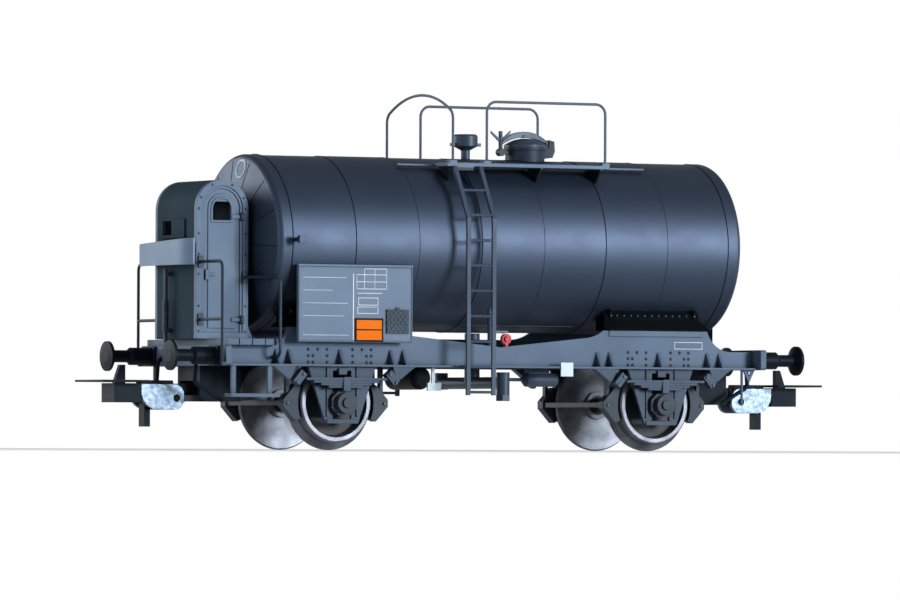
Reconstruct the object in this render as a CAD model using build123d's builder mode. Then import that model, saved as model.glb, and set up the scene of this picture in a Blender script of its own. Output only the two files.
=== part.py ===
from build123d import *

import math
import os

os.makedirs("parts", exist_ok=True)

# Two-axle railway tank car with a brakeman's cab, built as a 1:87 model with its own couplers.
# The X axis runs along the car from the cab end to the plain end, and the near side is at minus Y.
# Z is up from the floor that the wheel flanges stand on, and X is zero midway between the buffers.

# Driving dimensions, in millimetres
wheelbase = 51.72
overhang_cab_end = 19.19
overhang_plain_end = 16.59
tread_radius = 5.65
flange_height = 1.0
tank_radius = 12.5
tank_overhang_cab_end = 10.29
tank_overhang_plain_end = 12.94
tank_axis_z = 29.4
sill_face_y = 11.0
sill_bottom_z = 11.8
buffer_length = 7.4
buffer_y = 10.06
cab_width = 8.2
cab_half_depth = 6.33

# Values that follow from the driving dimensions
headstock_face_x = (overhang_cab_end + wheelbase + overhang_plain_end) / 2
axle_z = tread_radius + flange_height
axle_places = {
    "cab_end": overhang_cab_end - headstock_face_x,
    "plain_end": headstock_face_x - overhang_plain_end,
}
wheelbase_mid_x = (axle_places["cab_end"] + axle_places["plain_end"]) / 2
end_signs = {"cab_end": -1, "plain_end": 1}
side_signs = {"near": -1, "far": 1}
tank_crease_low_x = axle_places["cab_end"] - tank_overhang_cab_end
tank_crease_high_x = axle_places["plain_end"] + tank_overhang_plain_end
tank_top_z = tank_axis_z + tank_radius
tank_bottom_z = tank_axis_z - tank_radius

# Frame channels
web_thickness = 0.6
sill_inner_y = sill_face_y - web_thickness
sill_flange_out = 1.6
sill_flange_y = sill_face_y + sill_flange_out
sill_flange_thickness = 0.28
sill_end_height = 2.6
seat_height = 5.5
seat_beyond_axle = 8.14
seat_before_axle = 9.06
seat_rise_run = 3.9
seat_step_run = 2.8
slope_top_height = 4.4
slope_low_height = 2.95
seat_strip_height = 0.8
seat_strip_out = 0.15
seat_strip_margin = 0.9
gusset_thickness = 0.4
gusset_height = 2.45
gusset_offsets = (-10.1, -8.08, 0.0, 8.08, 10.1)
headstock_thickness = 0.9
headstock_overlap = 2.5
headstock_height = 2.9
headstock_chamfer = 0.25
headstock_inner_x = headstock_face_x - headstock_thickness
platform_z = sill_bottom_z + headstock_height
seat_z = sill_bottom_z + seat_height
flange_top_z = sill_bottom_z + sill_flange_thickness


def sill_outline():
    """Outline of the frame channel: low ends, raised seats over the axles and a slack middle."""
    low = sill_bottom_z
    end_z = low + sill_end_height
    slope_z = low + slope_top_height
    middle_z = low + slope_low_height
    rise_near = axle_places["cab_end"] - seat_beyond_axle
    rise_far = axle_places["plain_end"] + seat_beyond_axle
    step_near = axle_places["cab_end"] + seat_before_axle
    step_far = axle_places["plain_end"] - seat_before_axle
    with BuildLine() as outline:
        Polyline((rise_far + seat_rise_run, end_z), (headstock_inner_x, end_z), (headstock_inner_x, low),
                 (-headstock_inner_x, low), (-headstock_inner_x, end_z), (rise_near - seat_rise_run, end_z))
        TangentArc((rise_near - seat_rise_run, end_z), (rise_near, seat_z), tangent=(1, 0))
        Line((rise_near, seat_z), (step_near, seat_z))
        TangentArc((step_near + seat_step_run, slope_z), (step_near, seat_z), tangent=(-1, 0.1))
        Polyline((step_near + seat_step_run, slope_z), (wheelbase_mid_x, middle_z),
                 (step_far - seat_step_run, slope_z))
        TangentArc((step_far - seat_step_run, slope_z), (step_far, seat_z), tangent=(1, 0.1))
        Line((step_far, seat_z), (rise_far, seat_z))
        TangentArc((rise_far + seat_rise_run, end_z), (rise_far, seat_z), tangent=(-1, 0))
    return outline


def bent_bar(points, radius, bend):
    """Bar of eight-sided section that follows the given points with rounded bends."""
    with BuildPart() as bar:
        with BuildLine() as path:
            FilletPolyline(*points, radius=bend)
        with BuildSketch(Plane(origin=path.line @ 0, z_dir=path.line % 0)):
            RegularPolygon(radius, 8)
        sweep()
    return bar.part


# Frame channels, near and far: web, bottom flange, a strip under each tank seat and triangular gussets
seat_mid_shift = (seat_beyond_axle - seat_before_axle) / 2
seat_length = seat_beyond_axle + seat_before_axle
with BuildPart() as solebar_near:
    with BuildSketch(Plane.XZ.offset(sill_inner_y)):
        add(sill_outline().line)
        make_face()
    extrude(amount=web_thickness)
    with BuildSketch(Plane.XY.offset(sill_bottom_z)):
        with Locations((0, -(sill_inner_y + sill_flange_y) / 2)):
            Rectangle(2 * headstock_inner_x, sill_flange_y - sill_inner_y)
    extrude(amount=sill_flange_thickness)
    for end, axle_x in axle_places.items():
        seat_mid_x = axle_x + end_signs[end] * seat_mid_shift
        with BuildSketch(Plane.XZ.offset(sill_face_y)):
            with Locations((seat_mid_x, seat_z - seat_strip_height / 2)):
                Rectangle(seat_length - 2 * seat_strip_margin, seat_strip_height)
        extrude(amount=seat_strip_out)
        for gusset_offset in gusset_offsets:
            with BuildSketch(Plane.YZ.offset(axle_x + gusset_offset - gusset_thickness / 2)):
                with BuildLine():
                    Polyline((-sill_inner_y, sill_bottom_z), (-sill_flange_y, sill_bottom_z),
                             (-sill_face_y, sill_bottom_z + gusset_height),
                             (-sill_inner_y, sill_bottom_z + gusset_height), close=True)
                make_face()
            extrude(amount=gusset_thickness)
solebar_near.part.label = "solebar_near"
export_step(solebar_near.part, "parts/solebar_near.step")

with BuildPart() as solebar_far:
    mirror(solebar_near.part, about=Plane.XZ)
solebar_far.part.label = "solebar_far"
export_step(solebar_far.part, "parts/solebar_far.step")

# Headstocks: flat end beams with chamfered long edges
for end, sign in end_signs.items():
    with BuildPart() as headstock:
        with BuildSketch(Plane.YZ.offset(sign * headstock_inner_x)):
            with Locations((0, sill_bottom_z + headstock_height / 2)):
                Rectangle(2 * (sill_face_y + headstock_overlap), headstock_height)
        extrude(amount=sign * headstock_thickness)
        chamfer(headstock.edges().filter_by(Axis.X), length=headstock_chamfer)
    headstock.part.label = f"headstock_{end}"
    export_step(headstock.part, f"parts/headstock_{end}.step")

# Brake gear places, which the cross bars above them share
shoe_gap = 0.35
shoe_thickness = 0.9
hanger_from_shoe = 0.55
shoe_inner_radius = tread_radius + shoe_gap
shoe_outer_radius = shoe_inner_radius + shoe_thickness
hanger_offset = shoe_outer_radius + hanger_from_shoe

# Cross bars between the frame channels, and the two inner beams that lie on them
beam_y = 3.6
beam_thickness = 0.8
cross_bar_rise = 0.3
cross_bottom_z = sill_bottom_z + cross_bar_rise
cross_bar_height = 1.0
cross_bar_width = 1.0
beam_height = 0.9
beam_middle_half = 16.5
beam_middle_height = 2.8
end_bar_setback = 4.85
stiff_bar_offset = 9.76
reservoir_bar_offset = -10.8
cylinder_bar_offset = 8.9
beam_bottom_z = cross_bottom_z + cross_bar_height
beam_top_z = beam_bottom_z + beam_height
cross_bar_places = [
    end_bar_setback - headstock_face_x,
    wheelbase_mid_x + reservoir_bar_offset,
    wheelbase_mid_x + cylinder_bar_offset,
    headstock_face_x - end_bar_setback,
]
for end, sign in end_signs.items():
    cross_bar_places.append(axle_places[end] + sign * hanger_offset)
    cross_bar_places.append(axle_places[end] - sign * hanger_offset)
    cross_bar_places.append(axle_places[end] - sign * stiff_bar_offset)
with BuildPart() as cross_bars:
    with BuildSketch(Plane.XY.offset(cross_bottom_z)):
        for bar_x in cross_bar_places:
            with Locations((bar_x, 0)):
                Rectangle(cross_bar_width, 2 * sill_inner_y)
    extrude(amount=cross_bar_height)
cross_bars.part.label = "cross_bars"
export_step(cross_bars.part, "parts/cross_bars.step")

with BuildPart() as inner_beams:
    with BuildSketch(Plane.XY.offset(beam_bottom_z)):
        with Locations((0, beam_y), (0, -beam_y)):
            Rectangle(2 * headstock_inner_x, beam_thickness)
    extrude(amount=beam_height)
    with BuildSketch(Plane.XY.offset(beam_bottom_z)):
        with Locations((wheelbase_mid_x, beam_y), (wheelbase_mid_x, -beam_y)):
            Rectangle(2 * beam_middle_half, beam_thickness)
    extrude(amount=beam_middle_height)
inner_beams.part.label = "inner_beams"
export_step(inner_beams.part, "parts/inner_beams.step")

# Tank barrel: plate courses that lap at the ring seams, shallow dished ends and a small sampling cock
seam_count = 8
first_seam_in = 2.07
last_seam_in = 2.14
first_seam_x = tank_crease_low_x + first_seam_in
seam_pitch = (tank_crease_high_x - last_seam_in - first_seam_x) / (seam_count - 1)
lap_step = 0.07
dish_depth = 1.55
dish_mid_depth = 1.16
dish_flat_radius = 0.6
knuckle_radius = 0.9
knuckle_out = 0.12
knuckle_drop = 0.62
cock_after_crease = 2.6
cock_z = 29.6
cock_stem_radius = 0.3
cock_block_size = 1.1
cock_block_thickness = 0.6
cock_reach = 1.4
with BuildPart() as tank_barrel:
    with BuildSketch(Plane.XZ):
        with BuildLine():
            course_points = [(tank_crease_low_x + knuckle_radius, tank_top_z)]
            for seam in range(seam_count):
                seam_x = first_seam_x + seam * seam_pitch
                course_points.append((seam_x, tank_top_z - (seam % 2) * lap_step))
                course_points.append((seam_x, tank_top_z - ((seam + 1) % 2) * lap_step))
            course_points.append((tank_crease_high_x - knuckle_radius, tank_top_z))
            courses = Polyline(*course_points)
            high_knuckle = RadiusArc(
                courses @ 1, (tank_crease_high_x + knuckle_out, tank_top_z - knuckle_drop), knuckle_radius)
            high_dish = ThreePointArc(
                high_knuckle @ 1, (tank_crease_high_x + dish_mid_depth, tank_axis_z + tank_radius / 2),
                (tank_crease_high_x + dish_depth, tank_axis_z + dish_flat_radius))
            Polyline(high_dish @ 1, (tank_crease_high_x + dish_depth, tank_axis_z),
                     (tank_crease_low_x - dish_depth, tank_axis_z),
                     (tank_crease_low_x - dish_depth, tank_axis_z + dish_flat_radius))
            low_dish = ThreePointArc(
                (tank_crease_low_x - dish_depth, tank_axis_z + dish_flat_radius),
                (tank_crease_low_x - dish_mid_depth, tank_axis_z + tank_radius / 2),
                (tank_crease_low_x - knuckle_out, tank_top_z - knuckle_drop))
            RadiusArc(low_dish @ 1, courses @ 0, knuckle_radius)
        make_face()
    revolve(axis=Axis((0, 0, tank_axis_z), (1, 0, 0)))
    with BuildSketch(Plane.XZ.offset(tank_radius - cock_reach)):
        with Locations((tank_crease_low_x + cock_after_crease, cock_z)):
            Circle(cock_stem_radius)
    extrude(amount=2 * cock_reach)
    with BuildSketch(Plane.XZ.offset(tank_radius + cock_reach)):
        with Locations((tank_crease_low_x + cock_after_crease, cock_z)):
            Rectangle(cock_block_size, cock_block_size)
    extrude(amount=cock_block_thickness)
tank_barrel.part.label = "tank_barrel"
export_step(tank_barrel.part, "parts/tank_barrel.step")

# Saddles: on each raised seat a shelf, an upright plate flared to the car's end, and a bolting strip
saddle_half_length = 7.8
saddle_plate_y = 9.1
saddle_plate_thickness = 0.4
saddle_ledge_rise = 1.7
saddle_ledge_out = 0.2
saddle_ledge_edge = 0.15
saddle_strip_y = 8.1
saddle_strip_rise = 0.92
saddle_inner_y = 6.5
saddle_flare = 2.2
shelf_thickness = 0.25
clamp_half_spacing = 6.95
clamp_width = 0.35
clamp_depth = 0.3
clamp_rise = 1.4
saddle_ledge_z = seat_z + saddle_ledge_rise
tank_side_z = tank_axis_z - math.sqrt(tank_radius ** 2 - saddle_strip_y ** 2)
saddle_top_z = tank_side_z + saddle_strip_rise
with BuildPart() as tank_saddles:
    for end, axle_x in axle_places.items():
        sign = end_signs[end]
        with BuildSketch(Plane.YZ.offset(axle_x - saddle_half_length)):
            with BuildLine():
                Polyline((-sill_face_y, seat_z), (-sill_face_y, seat_z + shelf_thickness),
                         (-saddle_plate_y, seat_z + shelf_thickness), (-saddle_plate_y, saddle_ledge_z),
                         (-saddle_plate_y - saddle_ledge_out, saddle_ledge_z + saddle_ledge_edge),
                         (-saddle_strip_y, saddle_top_z), (-saddle_inner_y, saddle_top_z),
                         (-saddle_inner_y, seat_z), close=True)
            make_face()
        extrude(amount=2 * saddle_half_length)
        with BuildSketch(Plane.XZ.offset(saddle_plate_y - saddle_plate_thickness)):
            with BuildLine():
                Polyline((axle_x + sign * (saddle_half_length - 1), saddle_ledge_z),
                         (axle_x + sign * saddle_half_length, saddle_ledge_z),
                         (axle_x + sign * (saddle_half_length + saddle_flare), seat_z),
                         (axle_x + sign * (saddle_half_length - 1), seat_z), close=True)
            make_face()
        extrude(amount=saddle_plate_thickness)
        with Locations(
            (axle_x - clamp_half_spacing, -saddle_plate_y, saddle_ledge_z + clamp_rise / 2),
            (axle_x + clamp_half_spacing, -saddle_plate_y, saddle_ledge_z + clamp_rise / 2),
        ):
            Box(clamp_width, clamp_depth * 2, clamp_rise)
    with BuildSketch(Plane.YZ.offset(tank_crease_low_x - saddle_half_length)):
        with Locations((0, tank_axis_z)):
            Circle(tank_radius)
    extrude(amount=tank_crease_high_x - tank_crease_low_x + 2 * saddle_half_length, mode=Mode.SUBTRACT)
    mirror(about=Plane.XZ)
tank_saddles.part.label = "tank_saddles"
export_step(tank_saddles.part, "parts/tank_saddles.step")

# Tank stop: a cross foot on the inner beams, a post, and a pad that stands just off the dished end
stop_from_crease = 1.75
stop_width = 0.9
stop_foot_half_length = 4.0
stop_foot_height = 0.4
stop_rise = 5.6
stop_pad_radius = 0.5
stop_pad_drop = 0.6
stop_pad_gap = 0.3
pad_dish_depth = 0.52
stop_mid_x = tank_crease_high_x + stop_from_crease
stop_top_z = beam_top_z + stop_rise
stop_pad_z = stop_top_z - stop_pad_drop
dish_at_pad_x = tank_crease_high_x + pad_dish_depth
with BuildPart() as tank_stop:
    with BuildSketch(Plane.XY.offset(beam_top_z)):
        with Locations((stop_mid_x, 0)):
            Rectangle(stop_width, 2 * stop_foot_half_length)
    extrude(amount=stop_foot_height)
    with BuildSketch(Plane.XY.offset(beam_top_z)):
        with Locations((stop_mid_x, 0)):
            Rectangle(stop_width, stop_width)
    extrude(amount=stop_rise)
    with BuildSketch(Plane.YZ.offset(dish_at_pad_x + stop_pad_gap)):
        with Locations((0, stop_pad_z)):
            Circle(stop_pad_radius)
    extrude(amount=stop_mid_x - dish_at_pad_x - stop_pad_gap)
tank_stop.part.label = "tank_stop"
export_step(tank_stop.part, "parts/tank_stop.step")

# Manhole neck with its rim, the hinge bracket on one side and the lug of the swing bolt on the other
manhole_x = 11.15
neck_radius = 2.85
neck_sink = 0.6
rim_radius = 3.05
rim_rise = 1.45
rim_thickness = 0.4
bracket_half_thickness = 0.5
lug_radius = 0.55
lug_out = 4.0
lug_drop = 0.35
hinge_reach = 4.7
hinge_top_rise = 1.15
hinge_low_rise = -1.6
rim_z = tank_top_z + rim_rise
neck_top_z = rim_z + rim_thickness
with BuildPart() as manhole_neck:
    with BuildSketch(Plane.XY.offset(tank_top_z - neck_sink)):
        with Locations((manhole_x, 0)):
            Circle(neck_radius)
    extrude(amount=rim_z - tank_top_z + neck_sink)
    with BuildSketch(Plane.XY.offset(rim_z)):
        with Locations((manhole_x, 0)):
            Circle(rim_radius)
    extrude(amount=rim_thickness)
    with BuildSketch(Plane.XZ.offset(-bracket_half_thickness)):
        with BuildLine():
            Polyline(*[(manhole_x + out, neck_top_z + rise) for out, rise in (
                (2.7, hinge_low_rise), (hinge_reach - 0.4, hinge_low_rise + 0.2), (hinge_reach, -0.5),
                (hinge_reach - 0.1, hinge_top_rise - 0.2), (3.75, hinge_top_rise), (3.75, -0.1), (2.7, -0.1),
            )], close=True)
        make_face()
        with Locations((manhole_x - lug_out, rim_z - lug_drop)):
            Circle(lug_radius)
        with Locations((manhole_x - (lug_out + neck_radius) / 2, rim_z - lug_drop)):
            Rectangle(lug_out - neck_radius + 0.5, lug_radius)
    extrude(amount=2 * bracket_half_thickness)
    with BuildSketch(Plane.YZ.offset(manhole_x - 2 * neck_radius)):
        with Locations((0, tank_axis_z)):
            Circle(tank_radius)
    extrude(amount=4 * neck_radius, mode=Mode.SUBTRACT)
manhole_neck.part.label = "manhole_neck"
export_step(manhole_neck.part, "parts/manhole_neck.step")

# Manhole lid: dome, the arched strap on edge, and the swing bolt with its wing nut
lid_rise = 0.95
lid_edge = 0.35
lid_crown_radius = 0.4
strap_half_width = 0.4
strap_depth = 0.85
strap_low_out = 3.9
strap_high_out = 3.6
strap_foot_rise = 0.35
strap_crown_rise = 2.3
bolt_radius = 0.3
bolt_rise = 2.3
wing_reach = 1.6
wing_rise = 1.0
wing_thickness = 0.3
with BuildPart() as manhole_lid:
    with BuildSketch(Plane.XZ):
        with BuildLine():
            rim_edge = (manhole_x + rim_radius, neck_top_z + lid_edge)
            crown_edge = (manhole_x + lid_crown_radius, neck_top_z + lid_edge + lid_rise)
            Polyline(crown_edge, (manhole_x, crown_edge[1]), (manhole_x, neck_top_z),
                     (manhole_x + rim_radius, neck_top_z), rim_edge)
            ThreePointArc(rim_edge, (manhole_x + 1.86, neck_top_z + lid_edge + 0.63), crown_edge)
        make_face()
    revolve(axis=Axis((manhole_x, 0, 0), (0, 0, 1)))
    with BuildSketch(Plane.XZ.offset(-strap_half_width)):
        with BuildLine():
            low_foot = (manhole_x - strap_low_out, neck_top_z + strap_foot_rise)
            high_foot = (manhole_x + strap_high_out, neck_top_z + strap_foot_rise)
            outer = ThreePointArc(
                (low_foot[0], low_foot[1] + strap_depth / 2), (manhole_x, neck_top_z + strap_crown_rise),
                (high_foot[0], high_foot[1] + strap_depth / 2))
            inner = ThreePointArc(
                low_foot, (manhole_x, neck_top_z + strap_crown_rise - strap_depth), high_foot)
            Line(outer @ 0, inner @ 0)
            Line(outer @ 1, inner @ 1)
        make_face()
    extrude(amount=2 * strap_half_width)
    with BuildSketch(Plane.XY.offset(rim_z - lug_drop + lug_radius)):
        with Locations((manhole_x - lug_out, 0)):
            Circle(bolt_radius)
    extrude(amount=rim_thickness + bolt_rise + lug_drop - lug_radius)
    with BuildSketch(Plane.XZ.offset(-wing_thickness / 2)):
        with BuildLine():
            Polyline(*[(manhole_x - lug_out + out, neck_top_z + bolt_rise + rise) for out, rise in (
                (-wing_reach, 0), (-0.3, -wing_rise), (0.3, -wing_rise), (wing_reach, 0.1),
                (wing_reach, -0.2), (0.3, -wing_rise - 0.5), (-0.3, -wing_rise - 0.5), (-wing_reach, -0.3),
            )], close=True)
        make_face()
    extrude(amount=wing_thickness)
manhole_lid.part.label = "manhole_lid"
export_step(manhole_lid.part, "parts/manhole_lid.step")

# Vent valve: stem, cup with a conical underside, and a pair of ears
vent_x = 1.4
vent_stem_radius = 0.65
vent_cup_radius = 1.78
vent_lip = 0.25
vent_cone_rise = 1.25
vent_cup_rise = 1.85
vent_top_rise = 3.55
vent_sink = 0.6
ear_reach = 2.4
ear_height = 0.45
ear_width = 0.6
with BuildPart() as vent_valve:
    with BuildSketch(Plane.XZ):
        with BuildLine():
            Polyline(*[(vent_x + out, tank_top_z + rise) for out, rise in (
                (0, -vent_sink), (vent_stem_radius, -vent_sink), (vent_stem_radius, vent_cone_rise),
                (vent_cup_radius, vent_cup_rise), (vent_cup_radius, vent_top_rise - vent_lip),
                (vent_cup_radius - vent_lip, vent_top_rise), (0, vent_top_rise),
            )], close=True)
        make_face()
    revolve(axis=Axis((vent_x, 0, 0), (0, 0, 1)))
    with Locations((vent_x, 0, tank_top_z + vent_cup_rise + ear_height / 2)):
        Box(2 * ear_reach, ear_width, ear_height)
    with BuildSketch(Plane.YZ.offset(vent_x - vent_cup_radius)):
        with Locations((0, tank_axis_z)):
            Circle(tank_radius)
    extrude(amount=2 * vent_cup_radius, mode=Mode.SUBTRACT)
vent_valve.part.label = "vent_valve"
export_step(vent_valve.part, "parts/vent_valve.step")

# Walkways: plates beside the crown on triangular brackets, with sockets for the handrail posts
walk_low_x = -7.05
walk_high_x = 19.4
walk_outer_y = 10.35
walk_inner_y = 6.2
walk_drop = 0.92
walk_thickness = 0.5
strip_width = 0.5
strip_height = 0.25
strip_rise = 0.1
strip_low_x = -13.0
strip_high_x = 27.2
bracket_thickness = 0.35
bracket_places = (-6.05, 8.3, 18.1)
bracket_inner_drop = 2.6
bracket_outer_drop = 2.1
bracket_outer_in = 1.75
rail_y = 10.06
rail_low_x = -0.56
rail_high_x = 18.8
hoop_x = -6.05
socket_length = 1.2
socket_width = 1.0
socket_height = 0.35
step_plate_x = -4.15
step_plate_length = 2.7
step_plate_width = 1.0
step_plate_drop = 0.6
walk_top_z = tank_top_z - walk_drop
walk_bottom_z = walk_top_z - walk_thickness
socket_y = socket_width / 2 - walk_outer_y
with BuildPart() as walkways:
    with BuildSketch(Plane.XY.offset(walk_bottom_z)):
        with Locations(((walk_low_x + walk_high_x) / 2, -(walk_inner_y + walk_outer_y) / 2)):
            Rectangle(walk_high_x - walk_low_x, walk_outer_y - walk_inner_y)
    extrude(amount=walk_thickness)
    with BuildSketch(Plane.XY.offset(walk_bottom_z + strip_rise)):
        with Locations(((strip_low_x + strip_high_x) / 2, -walk_inner_y)):
            Rectangle(strip_high_x - strip_low_x, strip_width)
    extrude(amount=strip_height)
    with BuildSketch(Plane.XY.offset(walk_top_z)):
        with Locations((hoop_x, socket_y), (rail_low_x, socket_y), (rail_high_x, socket_y)):
            Rectangle(socket_length, socket_width)
    extrude(amount=socket_height)
    with BuildSketch(Plane.XY.offset(walk_bottom_z - step_plate_drop)):
        with Locations((step_plate_x, -walk_outer_y + step_plate_width / 2)):
            Rectangle(step_plate_length, step_plate_width)
    extrude(amount=step_plate_drop)
    for bracket_x in bracket_places:
        with BuildSketch(Plane.YZ.offset(bracket_x - bracket_thickness / 2)):
            with BuildLine():
                Polyline((-walk_outer_y, walk_bottom_z), (-walk_inner_y, walk_bottom_z),
                         (-walk_inner_y, walk_bottom_z - bracket_inner_drop),
                         (-walk_outer_y + bracket_outer_in, walk_bottom_z - bracket_outer_drop), close=True)
            make_face()
        extrude(amount=bracket_thickness)
    with BuildSketch(Plane.YZ.offset(strip_low_x)):
        with Locations((0, tank_axis_z)):
            Circle(tank_radius)
    extrude(amount=strip_high_x - strip_low_x, mode=Mode.SUBTRACT)
    mirror(about=Plane.XZ)
walkways.part.label = "walkways"
export_step(walkways.part, "parts/walkways.step")

# Handrails of bent wire that stand in the sockets, and the arched hoop between the two walkways
wire_radius = 0.2
rail_rise = 8.8
rail_corner = 1.5
hoop_post_rise = 6.2
hoop_corner = 1.6
hoop_corner_angle = 62
socket_top_z = walk_top_z + socket_height
rail_top_z = walk_top_z + rail_rise
for name, sign in side_signs.items():
    with BuildPart() as handrail:
        add(bent_bar([
            (rail_low_x, sign * rail_y, socket_top_z), (rail_low_x, sign * rail_y, rail_top_z),
            (rail_high_x, sign * rail_y, rail_top_z), (rail_high_x, sign * rail_y, socket_top_z),
        ], wire_radius, rail_corner))
    handrail.part.label = f"handrail_{name}"
    export_step(handrail.part, f"parts/handrail_{name}.step")

hoop_turn = math.radians(hoop_corner_angle)
hoop_turned = [(rail_y - hoop_corner + hoop_corner * math.cos(angle),
                walk_top_z + hoop_post_rise + hoop_corner * math.sin(angle))
               for angle in (0, hoop_turn / 2, hoop_turn)]
crown_end_y, crown_end_z = hoop_turned[2]
crown_radius = crown_end_y / math.cos(hoop_turn)
crown_top_z = crown_end_z + crown_radius * (1 - math.sin(hoop_turn))
with BuildPart() as handrail_hoop:
    with BuildLine(Plane.YZ.offset(hoop_x)) as hoop_path:
        Line((rail_y, socket_top_z), hoop_turned[0])
        ThreePointArc(*hoop_turned)
        ThreePointArc((crown_end_y, crown_end_z), (0, crown_top_z), (-crown_end_y, crown_end_z))
        ThreePointArc(*[(-y, z) for y, z in reversed(hoop_turned)])
        Line((-rail_y, walk_top_z + hoop_post_rise), (-rail_y, socket_top_z))
    with BuildSketch(Plane.XY.offset(socket_top_z)):
        with Locations((hoop_x, rail_y)):
            RegularPolygon(wire_radius, 8)
    sweep(path=hoop_path.line)
handrail_hoop.part.label = "handrail_hoop"
export_step(handrail_hoop.part, "parts/handrail_hoop.step")

# Ladders: two flat rails that bend in over the tank to the walkway, and round rungs
ladder_low_x = -5.9
ladder_high_x = -1.8
ladder_stand_off = 2.2
ladder_foot_drop = 3.95
ladder_bend_rise = 3.6
ladder_rail_width = 0.6
ladder_rail_depth = 0.4
ladder_top_out = 0.3
ladder_top_depth = 0.3
ladder_hook_drop = 0.9
rung_count = 9
rung_pitch = 3.59
rung_rise = 0.45
rung_radius = 0.2
ladder_face_y = sill_flange_y + ladder_stand_off
ladder_foot_z = sill_bottom_z - ladder_foot_drop
ladder_bend_z = tank_axis_z + ladder_bend_rise
ladder_top_y = walk_outer_y + ladder_top_out
ladder_top_z = walk_bottom_z
ladder_slope = (ladder_face_y - ladder_top_y) / (ladder_top_z - ladder_bend_z)
ladder_stay_length = ladder_face_y - ladder_rail_depth - sill_flange_y
with BuildPart() as ladder_near:
    for rail_x in (ladder_low_x, ladder_high_x):
        with BuildSketch(Plane.YZ.offset(rail_x - ladder_rail_width / 2)):
            with BuildLine():
                Polyline((-ladder_face_y, ladder_foot_z), (-ladder_face_y, ladder_bend_z),
                         (-ladder_top_y, ladder_top_z), (-ladder_top_y + ladder_top_depth, ladder_top_z),
                         (-ladder_top_y + ladder_top_depth, ladder_top_z - ladder_hook_drop),
                         (-ladder_face_y + ladder_rail_depth, ladder_bend_z - 0.1),
                         (-ladder_face_y + ladder_rail_depth, ladder_foot_z), close=True)
            make_face()
        extrude(amount=ladder_rail_width)
        with Locations((rail_x, -sill_flange_y - ladder_stay_length / 2, (sill_bottom_z + flange_top_z) / 2)):
            Box(ladder_rail_width, ladder_stay_length, sill_flange_thickness)
    for rung in range(rung_count):
        rung_z = ladder_foot_z + rung_rise + rung * rung_pitch
        rung_inset = max(0.0, (rung_z - ladder_bend_z) * ladder_slope)
        with BuildSketch(Plane.YZ.offset(ladder_low_x)):
            with Locations((-ladder_face_y + ladder_rail_depth / 2 + rung_inset, rung_z)):
                RegularPolygon(rung_radius, 8)
        extrude(amount=ladder_high_x - ladder_low_x)
ladder_near.part.label = "ladder_near"
export_step(ladder_near.part, "parts/ladder_near.step")

with BuildPart() as ladder_far:
    mirror(ladder_near.part, about=Plane.XZ)
ladder_far.part.label = "ladder_far"
export_step(ladder_far.part, "parts/ladder_far.step")

# Brakeman's cab: hollow shell with a barrel roof, floor, and an end window with its sliding shutter
cab_inset = 6.95
cab_floor_rise = 0.9
cab_height = 22.4
cab_wall = 0.5
cab_side_thickness = 0.5
end_window_y = 2.6
end_window_z = 31.3
end_window_width = 3.2
end_window_height = 2.0
shutter_y = -1.05
shutter_width = 4.1
shutter_height = 2.4
shutter_thickness = 0.2
runner_y = 0.6
runner_length = 7.9
runner_depth = 0.35
runner_height = 0.25
cab_inner_x = cab_inset - headstock_face_x
cab_outer_x = cab_inner_x - cab_width
cab_mid_x = cab_inner_x - cab_width / 2
cab_floor_z = platform_z + cab_floor_rise
cab_roof_z = cab_floor_z + cab_height
cab_spring_z = cab_roof_z - cab_width / 2
runner_z = end_window_z - (shutter_height + runner_height) / 2


def arch(inset, low_z):
    """Arched outline of the cab, a given distance inside its outer face, standing on low_z."""
    half = cab_width / 2 - inset
    with BuildLine() as outline:
        Polyline((cab_mid_x - half, cab_spring_z), (cab_mid_x - half, low_z), (cab_mid_x + half, low_z),
                 (cab_mid_x + half, cab_spring_z))
        ThreePointArc((cab_mid_x - half, cab_spring_z), (cab_mid_x, cab_spring_z + half),
                      (cab_mid_x + half, cab_spring_z))
    return outline


shell_half = cab_half_depth - cab_side_thickness
with BuildPart() as cab_shell:
    with BuildSketch(Plane.XZ.offset(-shell_half)):
        add(arch(0, cab_floor_z).line)
        make_face()
        with BuildSketch(mode=Mode.SUBTRACT):
            add(arch(cab_wall, cab_floor_z + cab_wall).line)
            make_face()
    extrude(amount=2 * shell_half)
    with BuildSketch(Plane.YZ.offset(cab_outer_x)):
        with Locations((end_window_y, end_window_z)):
            Rectangle(end_window_width, end_window_height)
    extrude(amount=cab_wall, mode=Mode.SUBTRACT)
    with BuildSketch(Plane.YZ.offset(cab_outer_x - shutter_thickness)):
        with Locations((shutter_y, end_window_z)):
            Rectangle(shutter_width, shutter_height)
    extrude(amount=shutter_thickness)
    with BuildSketch(Plane.YZ.offset(cab_outer_x - runner_depth)):
        with Locations((runner_y, runner_z)):
            Rectangle(runner_length, runner_height)
    extrude(amount=runner_depth)
cab_shell.part.label = "cab_shell"
export_step(cab_shell.part, "parts/cab_shell.step")

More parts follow.
